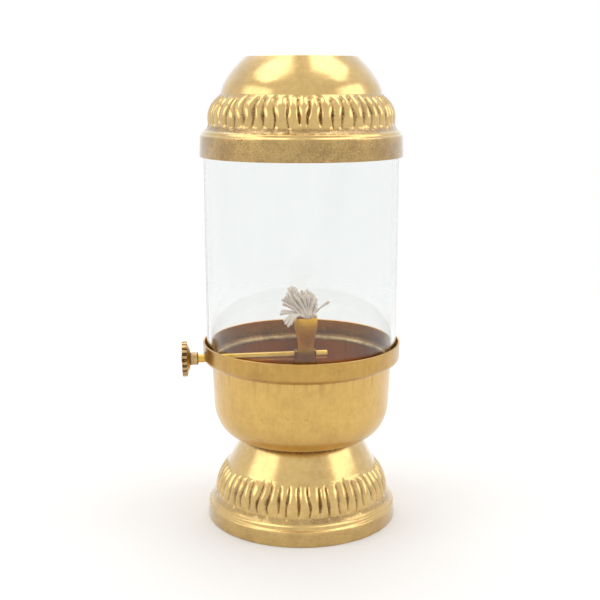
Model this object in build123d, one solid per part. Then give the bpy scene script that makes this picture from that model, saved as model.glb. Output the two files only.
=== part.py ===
from build123d import *
from math import cos, radians, sin, sqrt, tan
import os

# Oil lamp with a glass chimney, in millimetres. The origin is the centre of the foot's underside,
# +Z is up along the lamp's axis, and the knob stands out on the -X side.

# Shared clearances
running_clearance = 0.05
press_clearance = 0.01
overrun = 1.0

# Glass chimney, the tube that the lamp's scale was taken from
glass_radius = 44.5
glass_wall = 2.0
glass_height = 105.0
glass_edge_round = 0.4
glass_notch_clearance = 0.5

# Ribs round both castings
rib_count = 52
rib_groove_radius = 1.5
rib_groove_depth = 1.0

# Cast foot, each radius as a step out from the neck that the bowl sits in
foot_seat_step = 3.1
foot_dome_step = 8.1
foot_rib_step = 6.2
foot_band_step = 3.7
foot_band_height = 7.0
foot_band_draft = 0.3
foot_shoulder = 0.5
foot_cove_height = 6.0
foot_cove_sag = 0.9
foot_rib_height = 12.5
foot_rib_bulge = 1.4
foot_dome_height = 14.4
foot_wall = 1.6
foot_web_thickness = 1.6

# Spun oil bowl, a step smaller than the glass, with an elliptical corner round its flat floor
bowl_step = 3.0
bowl_flare = 0.8
bowl_corner_width = 11.4
bowl_corner_height = 16.7
bowl_side_height = 18.3
bowl_wall = 0.9

# Stud, washer and nut that hold the bowl on the foot
stud_radius = 3.0
stud_length = 12.0
stud_hole_clearance = 0.3
washer_radius = 8.0
washer_thickness = 1.2
nut_across_flats = 10.0
nut_height = 5.0

# Gallery ring, a ledge for the glass with a band round it
gallery_play = 1.0
gallery_wall = 0.8
gallery_band_height = 9.75
gallery_corner_radius = 2.0
gallery_rim_round = 0.25
gallery_overhang = 0.3

# Cast crown
crown_play = 0.7
crown_skirt_wall = 1.2
crown_skirt_draft = 0.4
crown_skirt_height = 9.9
crown_shoulder = 0.7
crown_cove_height = 4.3
crown_cove_sag = 1.0
crown_rib_step = 2.85
crown_rib_height = 12.1
crown_rib_bulge = 1.9
crown_rib_fall = 4.85
crown_dome_step = 0.9
crown_dome_height = 17.3
crown_haunch_step = 3.0
crown_haunch_height = 7.7
crown_haunch_bulge = 0.33
crown_slope_bulge = 0.38
crown_top_step = 8.4
crown_top_round = 0.4
crown_vent_lip = 3.3
crown_wall = 1.5

# Wick holder, an hourglass tube beside the lamp's axis
holder_x = 1.5
holder_y = -7.2
holder_mouth_rise = 19.4
holder_mouth_radius = 5.25
holder_upper_radius = 4.74
holder_waist_radius = 3.68
holder_waist_rise = 4.5
holder_lower_radius = 4.95
holder_base_drop = 10.4
holder_wall = 0.6
holder_upper_share = 0.5
holder_lower_share = 0.4

# Ears at the back of the holder, which carry the spindle
ear_standoff = 0.22
ear_thickness = 1.0
ear_radius = 2.8

# Stand that carries the holder on the bowl's floor
stand_flange_radius = 8.5
stand_flange_thickness = 1.2
stand_foot_radius = 6.2
stand_spigot_height = 3.0
stand_spigot_clearance = 0.05
stand_wall = 0.7
stand_window_width = 3.5
stand_window_height = 9.0

# Spindle, falling a little towards the knob
spindle_radius = 1.9
spindle_floor_gap = 1.0
spindle_setback = 5.2
spindle_slope = 1.0
spindle_knob_gap = 2.4
spindle_free_reach = 10.6
spindle_nose_radius = 1.5
spindle_head_radius = 2.3
spindle_head_thickness = 0.5

# Toothed wheel that drives the wick
wheel_width = 3.0
wheel_tooth_count = 12
wheel_tooth_depth = 0.8
wheel_tooth_gap = 0.2
wheel_clearance = 0.45

# Knob
knob_radius = 8.25
knob_rim_width = 2.4
knob_shoulder_width = 1.3
knob_shoulder_step = 0.95
knob_shoulder_top_radius = 4.4
knob_notch_count = 18
knob_notch_radius = 0.75
hub_radius = 2.95
hub_length = 3.7

# Cotton wick
wick_play = 0.38
wick_flat = 1.2
wick_floor_gap = 2.0
wick_plug_play = 0.65
wick_plug_rise = 2.6
wick_plug_drop = 0.3
yarn_radius = 0.8
yarn_root_drop = 0.3
tuft_reach = 12.0
tuft_height = 14.5

# Where each yarn of the tuft leaves the plug and ends, as shares of the plug's radius, the tuft's
# reach and the tuft's height, with the share of the chord that its middle is lifted by
yarn_shares = [
    ((-0.45, -0.25), (-0.66, -0.20, 0.93), 0.10),
    ((-0.25, 0.30), (-0.50, 0.22, 0.97), 0.08),
    ((-0.05, -0.35), (-0.12, -0.26, 0.86), 0.05),
    ((0.20, 0.25), (0.08, 0.20, 0.90), 0.05),
    ((0.40, -0.20), (0.30, -0.34, 0.74), 0.10),
    ((0.50, 0.20), (0.42, 0.26, 0.60), 0.12),
    ((-0.55, 0.10), (-0.90, 0.05, 0.50), 0.16),
    ((-0.50, -0.30), (-0.78, -0.42, 0.62), 0.14),
    ((-0.30, 0.55), (-0.55, 0.55, 0.58), 0.14),
    ((0.05, 0.60), (0.05, 0.55, 0.62), 0.12),
    ((-0.10, -0.60), (-0.30, -0.58, 0.52), 0.14),
    ((0.55, 0.00), (0.85, 0.10, 0.47), 0.02),
    ((-0.60, 0.00), (-1.00, -0.12, 0.13), 0.20),
    ((-0.55, -0.30), (-0.86, -0.42, 0.00), 0.30),
    ((-0.50, -0.45), (-0.68, -0.55, -0.24), 0.36),
]

# Places and sizes worked out from those above
bowl_radius = glass_radius - bowl_step
foot_rib_z = foot_band_height + foot_shoulder + foot_cove_height
foot_dome_z = foot_rib_z + foot_rib_height
foot_height = foot_dome_z + foot_dome_height
bowl_z = foot_height
belly_z = bowl_z + bowl_corner_height
bowl_floor_radius = bowl_radius - bowl_corner_width
foot_neck_radius = bowl_floor_radius - foot_seat_step
foot_dome_radius = foot_neck_radius + foot_dome_step
foot_rib_radius = foot_dome_radius + foot_rib_step
foot_band_radius = foot_rib_radius + foot_band_step
ledge_z = belly_z + bowl_side_height
glass_z = ledge_z + gallery_wall
glass_top_z = glass_z + glass_height
crown_z = glass_top_z - crown_skirt_height
crown_skirt_radius = glass_radius + crown_play + crown_skirt_wall
crown_cove_radius = crown_skirt_radius - crown_skirt_draft - crown_shoulder
crown_rib_radius = crown_cove_radius - crown_rib_step
crown_dome_radius = crown_rib_radius - crown_rib_fall
crown_haunch_radius = crown_dome_radius - crown_dome_step - crown_haunch_step
crown_top_radius = crown_haunch_radius - crown_top_step
crown_vent_radius = crown_top_radius - crown_vent_lip
gallery_inner_radius = glass_radius + gallery_play
gallery_outer_radius = gallery_inner_radius + gallery_wall
spindle_y = holder_y + spindle_setback
spindle_height = ledge_z + spindle_radius + spindle_floor_gap
spindle_hub_reach = gallery_outer_radius + holder_x + spindle_knob_gap + hub_length
spindle_knob_reach = spindle_hub_reach + knob_shoulder_width + knob_rim_width + spindle_head_thickness
holder_mouth_height = spindle_height + holder_mouth_rise
holder_waist_z = spindle_height + holder_waist_rise
holder_base_z = spindle_height - holder_base_drop
ear_gap = 2 * (holder_waist_radius + ear_standoff)
wheel_tip_radius = spindle_setback - wick_flat - wheel_tooth_gap
knob_shoulder_radius = knob_radius - knob_shoulder_step
wick_radius = holder_waist_radius - holder_wall - wick_play
wick_plug_radius = holder_mouth_radius - holder_wall - wick_plug_play
wick_plug_z = spindle_height + wheel_tip_radius + wick_plug_rise
bowl_inner_floor_z = bowl_z + bowl_wall

# Local frame of the spindle: +X runs along the rod away from the knob, from the middle of the wheel
spindle_frame = Location((holder_x, spindle_y, spindle_height)) * Rotation(0, -spindle_slope, 0)
along_x = Rotation(0, 90, 0)


def turned(*edges):
    """Solid turned about +Z from a closed outline drawn as (radius, height)."""
    outline = Curve() + [Plane.XZ * edge for edge in edges]
    return revolve(make_face(outline), Axis.Z)


def beside_chord(start, end, bulge):
    """Point beside the middle of a rising chord, pushed outwards by the bulge."""
    run = Vector(*end) - Vector(*start)
    middle = (Vector(*start) + Vector(*end)) / 2
    outward = Vector(run.Y, -run.X).normalized()
    point = middle + outward * bulge
    return (point.X, point.Y)


def bowed(start, end, bulge):
    """Arc between two outline points with the given bulge."""
    return ThreePointArc(start, beside_chord(start, end, bulge), end)


def rod(radius, start_x, end_x):
    """Cylinder along X between two places."""
    return Pos((start_x + end_x) / 2, 0, 0) * along_x * Cylinder(radius, end_x - start_x)


def rib_grooves(start, end, bulge):
    """Ring of round cutters lying along the ribbed zone, deepest at its middle."""
    low, high = Vector(*start), Vector(*end)
    crest = Vector(*beside_chord(start, end, bulge))
    outward = (crest - (low + high) / 2).normalized()
    centre = crest + outward * (rib_groove_radius - rib_groove_depth)
    run = high - low
    cutter_plane = Plane(origin=(centre.X, 0, centre.Y), z_dir=(run.X, 0, run.Y))
    cutter = cutter_plane * Cylinder(rib_groove_radius, run.length)
    return [Rotation(0, 0, 360 * turn / rib_count) * cutter for turn in range(rib_count)]


def make_base_foot():
    """Hollow foot: band, cove, ribs and a tapered neck closed by a web that the bowl sits on."""
    band_top = (foot_band_radius - foot_band_draft, foot_band_height)
    cove_start = (band_top[0] - foot_shoulder, foot_band_height + foot_shoulder)
    rib_start = (foot_rib_radius, foot_rib_z)
    dome_start = (foot_dome_radius, foot_dome_z)
    neck = (foot_neck_radius, foot_height)
    web_low_z = foot_height - foot_web_thickness
    hole = stud_radius + stud_hole_clearance
    inner_band = foot_band_radius - foot_wall
    inner_rib = (foot_rib_radius - foot_wall, foot_rib_z)
    inner_dome = (foot_dome_radius - foot_wall, foot_dome_z)
    slope = (foot_dome_radius - foot_neck_radius) / foot_dome_height
    inner_web_radius = inner_dome[0] - slope * (web_low_z - foot_dome_z)
    body = turned(
        Polyline((inner_band, 0), (foot_band_radius, 0), band_top, cove_start),
        bowed(cove_start, rib_start, -foot_cove_sag),
        bowed(rib_start, dome_start, foot_rib_bulge),
        Polyline(dome_start, neck, (hole, foot_height), (hole, web_low_z),
                 (inner_web_radius, web_low_z), inner_dome),
        bowed(inner_rib, inner_dome, foot_rib_bulge - rib_groove_depth),
        Polyline(inner_rib, (inner_band, foot_band_height - foot_wall), (inner_band, 0)),
    )
    return body - rib_grooves(rib_start, dome_start, foot_rib_bulge)


def bowl_outline(inset):
    """Edges of one skin of the bowl, from the axis out along the floor and up the side."""
    floor_z = bowl_z + inset
    side = bowl_radius - inset
    return [
        Line((0, floor_z), (bowl_floor_radius, floor_z)),
        EllipticalCenterArc((bowl_floor_radius, belly_z), bowl_corner_width - inset, bowl_corner_height - inset,
                            start_angle=-90, arc_size=90),
        Line((side, belly_z), (side + bowl_flare, ledge_z)),
    ]


def make_oil_bowl():
    """Spun bowl with a flat floor and one wall thickness."""
    outer = bowl_outline(0)
    inner = bowl_outline(bowl_wall)
    rim = Line((bowl_radius + bowl_flare, ledge_z), (bowl_radius + bowl_flare - bowl_wall, ledge_z))
    middle = Line((0, bowl_z), (0, bowl_inner_floor_z))
    return turned(*outer, rim, *inner, middle)


def make_bowl_stud():
    """Stud brazed under the bowl's floor, clear of the oil."""
    stud = Pos(0, 0, bowl_z - stud_length / 2) * Cylinder(stud_radius, stud_length)
    return chamfer(stud.edges().sort_by(Axis.Z)[0], stud_radius / 6)


def make_stud_washer():
    """Plain washer under the foot's web."""
    top = bowl_z - foot_web_thickness
    return Pos(0, 0, top - washer_thickness / 2) * (
        Cylinder(washer_radius, washer_thickness)
        - Cylinder(stud_radius + stud_hole_clearance, washer_thickness + overrun)
    )


def make_stud_nut():
    """Hexagon nut on the stud."""
    top = bowl_z - foot_web_thickness - washer_thickness
    hexagon = RegularPolygon(nut_across_flats / 2, 6, major_radius=False)
    nut = extrude(hexagon, nut_height) - Cylinder(stud_radius + running_clearance, 3 * nut_height)
    return Pos(0, 0, top - nut_height) * nut


def spindle_hole(start_x, end_x, clearance):
    """Cutter along the spindle's line, between two places on it."""
    return spindle_frame * rod(spindle_radius + clearance, start_x, end_x)


def make_gallery_ring():
    """Ledge on the bowl's edge with a band round it, drilled for the spindle."""
    inner, outer = gallery_inner_radius, gallery_outer_radius
    top_z = ledge_z + gallery_band_height
    lip = bowl_radius + bowl_flare - bowl_wall - gallery_overhang
    turn = outer - gallery_corner_radius
    corner = turn + gallery_corner_radius * sin(radians(45))
    corner_z = ledge_z + gallery_corner_radius * (1 - cos(radians(45)))
    ring = turned(
        Polyline((lip, ledge_z), (turn, ledge_z)),
        ThreePointArc((turn, ledge_z), (corner, corner_z), (outer, ledge_z + gallery_corner_radius)),
        Polyline((outer, ledge_z + gallery_corner_radius), (outer, top_z), (inner, top_z),
                 (inner, glass_z), (lip, glass_z), (lip, ledge_z)),
    )
    rim = ring.edges().filter_by(GeomType.CIRCLE).group_by(Axis.Z)[-1]
    ring = fillet(rim, gallery_rim_round)
    return ring - spindle_hole(-outer - holder_x - overrun, -lip / 2, running_clearance)


def spindle_z_at(x):
    """Height of the spindle's line above a place on the X axis."""
    return spindle_height + (x - holder_x) * tan(radians(spindle_slope))


def make_glass_chimney():
    """Plain tube with softened ends and an arched notch over the spindle."""
    tube = Cylinder(glass_radius, glass_height) - Cylinder(glass_radius - glass_wall, glass_height + overrun)
    rims = tube.edges().filter_by(GeomType.CIRCLE)
    tube = Pos(0, 0, glass_z + glass_height / 2) * fillet(rims, glass_edge_round)
    arch_radius = spindle_radius + glass_notch_clearance
    arch_z = spindle_z_at(-glass_radius)
    depth = 3 * glass_wall
    place = Pos(-glass_radius, spindle_y, arch_z)
    arch = place * along_x * Cylinder(arch_radius, depth)
    slot_height = arch_z - glass_z + overrun
    slot = place * Pos(0, 0, -slot_height / 2) * Box(depth, 2 * arch_radius, slot_height)
    return tube - (arch + slot)


def make_crown():
    """Hollow crown: skirt round the glass, shelf on its top edge, ribs and an open dome."""
    skirt = crown_skirt_radius
    inner_skirt = skirt - crown_skirt_wall
    skirt_top = (skirt - crown_skirt_draft, glass_top_z)
    cove_start = (crown_cove_radius, glass_top_z + crown_shoulder)
    rib_start = (crown_rib_radius, cove_start[1] + crown_cove_height)
    rib_end = (crown_dome_radius, rib_start[1] + crown_rib_height)
    dome_start = (crown_dome_radius - crown_dome_step, rib_end[1] + crown_dome_step)
    haunch = (crown_haunch_radius, rib_end[1] + crown_haunch_height)
    top_z = rib_end[1] + crown_dome_height
    dome_end = (crown_top_radius + crown_top_round / 2, top_z - crown_top_round / 2)
    inner_rib = (crown_rib_radius - crown_wall, rib_start[1])
    inner_dome = (dome_start[0] - crown_wall, rib_end[1])
    inner_haunch = (haunch[0] - crown_wall, haunch[1] - crown_wall / 2)
    inner_top = (crown_top_radius - crown_wall, top_z - crown_wall)
    body = turned(
        Polyline((inner_skirt, crown_z), (skirt, crown_z), skirt_top, cove_start),
        bowed(cove_start, rib_start, -crown_cove_sag),
        bowed(rib_start, rib_end, crown_rib_bulge),
        Line(rib_end, dome_start),
        bowed(dome_start, haunch, crown_haunch_bulge),
        bowed(haunch, dome_end, crown_slope_bulge),
        Polyline(dome_end, (crown_top_radius - crown_top_round / 2, top_z), (crown_vent_radius, top_z),
                 (crown_vent_radius, top_z - crown_wall), inner_top),
        bowed(inner_haunch, inner_top, crown_slope_bulge),
        bowed(inner_dome, inner_haunch, crown_haunch_bulge),
        bowed(inner_rib, inner_dome, crown_rib_bulge - rib_groove_depth),
        Polyline(inner_rib, (inner_rib[0], glass_top_z), (inner_skirt, glass_top_z), (inner_skirt, crown_z)),
    )
    return body - rib_grooves(rib_start, rib_end, crown_rib_bulge)


def holder_skin(inset):
    """Turned hourglass between the holder's mouth and foot, drawn in by the inset."""
    upper_z = holder_mouth_height - (holder_mouth_height - holder_waist_z) * holder_upper_share
    lower_z = holder_waist_z - (holder_waist_z - holder_base_z) * holder_lower_share
    outline = [
        (holder_mouth_radius - inset, holder_mouth_height),
        (holder_upper_radius - inset, upper_z),
        (holder_waist_radius - inset, holder_waist_z),
        (holder_lower_radius - inset, lower_z),
        (holder_mouth_radius - inset, holder_base_z),
    ]
    side = Spline(outline)
    closing = Polyline(outline[-1], (0, holder_base_z), (0, holder_mouth_height), outline[0])
    return Pos(holder_x, holder_y, 0) * turned(side, closing)


def make_ears():
    """Two plates from the holder's sides back to the spindle."""
    plate = extrude(
        Plane.YZ * (Circle(ear_radius) + Pos(-spindle_setback / 2, 0) * Rectangle(spindle_setback, 2 * ear_radius)),
        ear_thickness / 2, both=True,
    )
    offset = (ear_gap + ear_thickness) / 2
    return [spindle_frame * Pos(side * offset, 0, 0) * plate for side in (-1, 1)]


def make_wick_holder():
    """Hourglass tube with ears for the spindle and a window for the wheel."""
    window = spindle_frame * rod(wheel_tip_radius + wheel_clearance, -wheel_width / 2 - wheel_clearance,
                                 wheel_width / 2 + wheel_clearance)
    groove = spindle_hole(-ear_gap / 2, ear_gap / 2, wheel_clearance)
    bearings = spindle_hole(-ear_gap, ear_gap, running_clearance)
    body = holder_skin(0) + make_ears()
    return body - holder_skin(holder_wall) - window - groove - bearings


def make_holder_stand():
    """Tapered tube on the bowl's floor, with a spigot in the holder and windows for the oil."""
    shoulder = holder_mouth_radius
    spigot = holder_mouth_radius - holder_wall - stand_spigot_clearance
    bore = spigot - stand_wall
    floor_z = bowl_inner_floor_z
    flange_z = floor_z + stand_flange_thickness
    tube = turned(
        Polyline((bore, floor_z), (stand_flange_radius, floor_z), (stand_flange_radius, flange_z),
                 (stand_foot_radius, flange_z), (shoulder, holder_base_z), (spigot, holder_base_z),
                 (spigot, holder_base_z + stand_spigot_height),
                 (bore, holder_base_z + stand_spigot_height), (bore, floor_z)),
    )
    window_z = flange_z + stand_window_height / 2
    long_side = 3 * stand_flange_radius
    windows = [
        Pos(0, 0, window_z) * Box(long_side, stand_window_width, stand_window_height),
        Pos(0, 0, window_z) * Box(stand_window_width, long_side, stand_window_height),
    ]
    return Pos(holder_x, holder_y, 0) * (tube - windows)


def make_spindle():
    """Rod with a thinner nose that passes through the knob and is headed over."""
    head_x = -spindle_knob_reach
    knob_face_x = head_x + spindle_head_thickness
    hub_x = -spindle_hub_reach
    body = rod(spindle_radius, hub_x, spindle_free_reach)
    body += rod(spindle_nose_radius, head_x, hub_x)
    body += rod(spindle_head_radius, head_x, knob_face_x)
    return spindle_frame * body


def make_wick_wheel():
    """Toothed wheel pressed on the spindle behind the wick."""
    wheel = rod(wheel_tip_radius, -wheel_width / 2, wheel_width / 2)
    wheel -= rod(spindle_radius + press_clearance, -wheel_width, wheel_width)
    notch = Pos(0, wheel_tip_radius, 0) * Rotation(45, 0, 0) * Box(
        wheel_width + overrun, wheel_tooth_depth * sqrt(2), wheel_tooth_depth * sqrt(2))
    notches = [Rotation(360 * turn / wheel_tooth_count, 0, 0) * notch for turn in range(wheel_tooth_count)]
    return spindle_frame * (wheel - notches)


def make_knob_wheel():
    """Disc with a notched rim and a shoulder towards the hub."""
    face_x = -spindle_knob_reach + spindle_head_thickness
    rim_x = face_x + knob_rim_width
    disc = rod(knob_radius, face_x, rim_x)
    notch = Pos(0, knob_radius, 0) * rod(knob_notch_radius, face_x - overrun, rim_x + overrun)
    disc -= [Rotation(360 * turn / knob_notch_count, 0, 0) * notch for turn in range(knob_notch_count)]
    shoulder = Pos(rim_x + knob_shoulder_width / 2, 0, 0) * along_x * Cone(
        knob_shoulder_radius, knob_shoulder_top_radius, knob_shoulder_width)
    bore = rod(spindle_nose_radius + press_clearance, face_x - overrun, rim_x + knob_shoulder_width + overrun)
    return spindle_frame * (disc + shoulder - bore)


def make_knob_hub():
    """Collar on the spindle against the knob's shoulder."""
    start_x = -spindle_hub_reach
    collar = rod(hub_radius, start_x, start_x + hub_length)
    collar -= rod(spindle_radius + press_clearance, start_x - overrun, start_x + hub_length + overrun)
    return spindle_frame * collar


def make_yarn(root_shares, tip_shares, lift_share):
    """One yarn of the tuft, an arc from inside the plug to its round tip."""
    top_z = holder_mouth_height
    root = Vector(root_shares[0] * wick_plug_radius, root_shares[1] * wick_plug_radius, top_z - yarn_root_drop)
    tip = Vector(tip_shares[0] * tuft_reach, tip_shares[1] * tuft_reach, top_z + tip_shares[2] * tuft_height)
    middle = (root + tip) / 2 + Vector(0, 0, (tip - root).length * lift_share)
    path = ThreePointArc(root, middle, tip)
    body = sweep(Plane(origin=root, z_dir=path % 0) * Circle(yarn_radius), path)
    return [body, Pos(*tip) * Sphere(yarn_radius)]


def make_wick():
    """Cotton wick: a core with a flat for the wheel, a plug in the mouth and a spread tuft."""
    foot_z = bowl_inner_floor_z + wick_floor_gap
    plug_z = wick_plug_z
    top_z = holder_mouth_height - wick_plug_drop
    core = Pos(0, 0, (foot_z + plug_z) / 2) * Cylinder(wick_radius, plug_z - foot_z)
    beyond = Pos(0, wick_flat + wick_radius, (foot_z + plug_z) / 2) * Box(
        4 * wick_radius, 2 * wick_radius, plug_z - foot_z + overrun)
    plug = Pos(0, 0, (plug_z + top_z) / 2) * Cone(wick_radius, wick_plug_radius, top_z - plug_z)
    body = core - beyond + plug
    for root_shares, tip_shares, lift_share in yarn_shares:
        body += make_yarn(root_shares, tip_shares, lift_share)
    return Pos(holder_x, holder_y, 0) * body


pieces = {
    "base_foot": make_base_foot,
    "oil_bowl": make_oil_bowl,
    "bowl_stud": make_bowl_stud,
    "stud_washer": make_stud_washer,
    "stud_nut": make_stud_nut,
    "gallery_ring": make_gallery_ring,
    "holder_stand": make_holder_stand,
    "wick_holder": make_wick_holder,
    "glass_chimney": make_glass_chimney,
    "crown": make_crown,
    "spindle": make_spindle,
    "wick_wheel": make_wick_wheel,
    "knob_wheel": make_knob_wheel,
    "knob_hub": make_knob_hub,
    "wick": make_wick,
}

os.makedirs("parts", exist_ok=True)
for name, make in pieces.items():
    export_step(make(), f"parts/{name}.step")
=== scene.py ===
"""Oil lamp with a glass chimney: its dressed pieces, their finishes, the light and the camera."""

import logging
import math
from dataclasses import dataclass, field
from enum import Enum
from typing import Iterable, Optional, Sequence

import bpy
import numpy as np
from mathutils import Matrix, Vector

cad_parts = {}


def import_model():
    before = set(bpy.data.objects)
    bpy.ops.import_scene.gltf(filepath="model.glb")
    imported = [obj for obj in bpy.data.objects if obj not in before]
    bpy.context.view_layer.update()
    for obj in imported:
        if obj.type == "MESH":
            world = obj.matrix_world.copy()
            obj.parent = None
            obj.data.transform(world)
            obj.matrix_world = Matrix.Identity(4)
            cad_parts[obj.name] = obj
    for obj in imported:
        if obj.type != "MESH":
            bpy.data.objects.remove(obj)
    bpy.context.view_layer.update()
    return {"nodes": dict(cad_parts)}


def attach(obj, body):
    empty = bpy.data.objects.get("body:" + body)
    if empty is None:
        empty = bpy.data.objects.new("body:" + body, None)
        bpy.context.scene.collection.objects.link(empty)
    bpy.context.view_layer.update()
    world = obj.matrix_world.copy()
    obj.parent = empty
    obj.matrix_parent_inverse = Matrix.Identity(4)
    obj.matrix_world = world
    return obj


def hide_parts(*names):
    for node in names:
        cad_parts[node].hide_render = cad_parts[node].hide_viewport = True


MM = 0.001
FULL_TURN = 2 * math.pi
LOG = logging.getLogger("oil_lamp")

Point = tuple[float, float]
Colour = tuple[float, float, float]
Heights = tuple[float, float]
Nodes = dict[str, bpy.types.Object]
Socket = bpy.types.NodeSocket


class Body(Enum):
    """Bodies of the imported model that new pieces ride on."""

    STAND = "stand"
    ADJUSTER = "adjuster"
    WICK = "wick_bundle"
    CROWN = "crown_cap"


class Slot(Enum):
    """Material slots of the record."""

    POLISHED = "polished_brass"
    SATIN = "satin_brass"
    PLAIN = "plain_brass"
    COTTON = "cotton"


class Grain(Enum):
    """Directions that tool marks run in, as stretches of the object's coordinates."""

    ROUND_THE_AXIS = (60.0, 60.0, 2600.0)
    ALONG_THE_AXIS = (1500.0, 1500.0, 45.0)
    ROUND_THE_SPINDLE = (2600.0, 60.0, 60.0)


def unit(vector: np.ndarray) -> np.ndarray:
    """Return the vector at length one."""
    return vector / np.linalg.norm(vector)


def eased(share: np.ndarray) -> np.ndarray:
    """Return a share clipped to 0 and 1 and eased at both ends."""
    clipped = np.clip(share, 0, 1)
    return clipped * clipped * (3 - 2 * clipped)


def arc_points(start: Point, end: Point, bulge: float, steps: int) -> list[Point]:
    """Sample the arc between two outline points.

    Args:
        start: First point as (radius, height).
        end: Last point as (radius, height).
        bulge: Height of the arc over its chord, outwards on a rising chord.
        steps: Number of pieces that the arc is cut into.

    Returns:
        The points after the first, the last one included.
    """
    first, last = np.array(start, float), np.array(end, float)
    chord = last - first
    outward = np.array((chord[1], -chord[0])) / np.linalg.norm(chord)
    shares = np.linspace(0, 1, steps + 1)[1:]
    sag = 4 * bulge * shares * (1 - shares)
    return [tuple(first + chord * share + outward * rise) for share, rise in zip(shares, sag)]


def softened(corners: Sequence[Point], rounds: Sequence[float], steps: int = 4) -> list[Point]:
    """Round the corners of an open run of outline points.

    Args:
        corners: Points as (radius, height).
        rounds: How far each corner is cut back, 0 for a corner that stays.
        steps: Number of pieces in each rounded corner.

    Returns:
        The run with its corners rounded.
    """
    made: list[Point] = []
    for index, (corner, back) in enumerate(zip(corners, rounds)):
        if back == 0 or index in (0, len(corners) - 1):
            made.append(corner)
            continue
        middle = np.array(corner, float)
        before = middle + back * unit(np.array(corners[index - 1], float) - middle)
        after = middle + back * unit(np.array(corners[index + 1], float) - middle)
        for share in np.linspace(0, 1, steps + 1):
            rest = 1 - share
            made.append(tuple(rest**2 * before + 2 * share * rest * middle + share**2 * after))
    return made


def filled(run: Sequence[Point], step: float) -> list[Point]:
    """Add points to a run of outline points.

    Args:
        run: Points as (radius, height).
        step: Longest distance from one point to the next.

    Returns:
        The run with the added points.
    """
    made = [run[0]]
    for start, end in zip(run, run[1:]):
        first, last = np.array(start, float), np.array(end, float)
        pieces = max(1, math.ceil(np.linalg.norm(last - first) / step))
        made += [tuple(first + (last - first) * share) for share in np.linspace(0, 1, pieces + 1)[1:]]
    return made


def mesh_from_grid(
    name: str,
    points: np.ndarray,
    closed_rows: bool,
    sharp_angle: float,
    shares: Optional[dict[str, np.ndarray]] = None,
) -> bpy.types.Object:
    """Make a mesh from a grid of points whose columns run round and join up.

    Args:
        name: Name of the piece.
        points: Array of rows by columns by 3, in millimetres.
        closed_rows: True where the last row joins the first, False where both ends are capped.
        sharp_angle: Angle between faces, in degrees, from which an edge stays sharp.
        shares: Point attributes by name, each an array of rows by columns.

    Returns:
        The object, linked to the scene.
    """
    rows, columns = points.shape[:2]
    index = np.arange(rows * columns).reshape(rows, columns)
    following = np.roll(index, -1, axis=1)
    upper = np.roll(index, -1, axis=0)
    upper_following = np.roll(following, -1, axis=0)
    last = rows if closed_rows else rows - 1
    faces = np.stack([index, following, upper_following, upper], axis=2)[:last].reshape(-1, 4)
    polygons = faces.tolist()
    if not closed_rows:
        polygons += [index[0][::-1].tolist(), index[-1].tolist()]
    mesh = bpy.data.meshes.new(name)
    mesh.from_pydata((points.reshape(-1, 3) * MM).tolist(), [], polygons)
    for key, values in (shares or {}).items():
        layer = mesh.attributes.new(key, "FLOAT", "POINT")
        layer.data.foreach_set("value", values.astype(np.float32).ravel())
    mesh.validate()
    smooth_but_sharp(mesh, sharp_angle)
    mesh.update()
    made = bpy.data.objects.new(name, mesh)
    bpy.context.scene.collection.objects.link(made)
    return made


def smooth_but_sharp(mesh: bpy.types.Mesh, sharp_angle: float) -> None:
    """Shade a mesh smooth and keep its edges from an angle on, in degrees, sharp."""
    mesh.polygons.foreach_set("use_smooth", [True] * len(mesh.polygons))
    mesh.set_sharp_from_angle(angle=math.radians(sharp_angle))


@dataclass(frozen=True)
class Waviness:
    """Low waves of a hand-finished surface, as a sum of fixed sines.

    Attributes:
        height: Largest departure, in millimetres.
        seed: Number that the waves are drawn from.
        count: Number of waves.
    """

    # Ranges that each wave's lobes, its run along the outline and its weight are drawn from.
    LOBES = (2, 15)
    RUNS = (0.05, 0.45)
    WEIGHTS = (0.3, 1.0)
    # Sum that the waves usually reach, as a share of their number.
    USUAL_SUM = 0.45

    height: float
    seed: int
    count: int = 14

    def at(self, angle: np.ndarray, along: np.ndarray) -> np.ndarray:
        """Work out the departures from an outline.

        Args:
            angle: Angles round the axis.
            along: Places along the outline, in millimetres.

        Returns:
            The departures, in millimetres, in the shape that both arrays make together.
        """
        draw = np.random.RandomState(self.seed)
        total = np.zeros(np.broadcast(angle, along).shape)
        for _ in range(self.count):
            lobes = draw.randint(*self.LOBES)
            run = draw.uniform(*self.RUNS)
            phase = draw.uniform(0, FULL_TURN)
            weight = draw.uniform(*self.WEIGHTS)
            total = total + weight * np.sin(lobes * angle + run * along + phase)
        return self.height * total / (self.USUAL_SUM * self.count)


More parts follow.
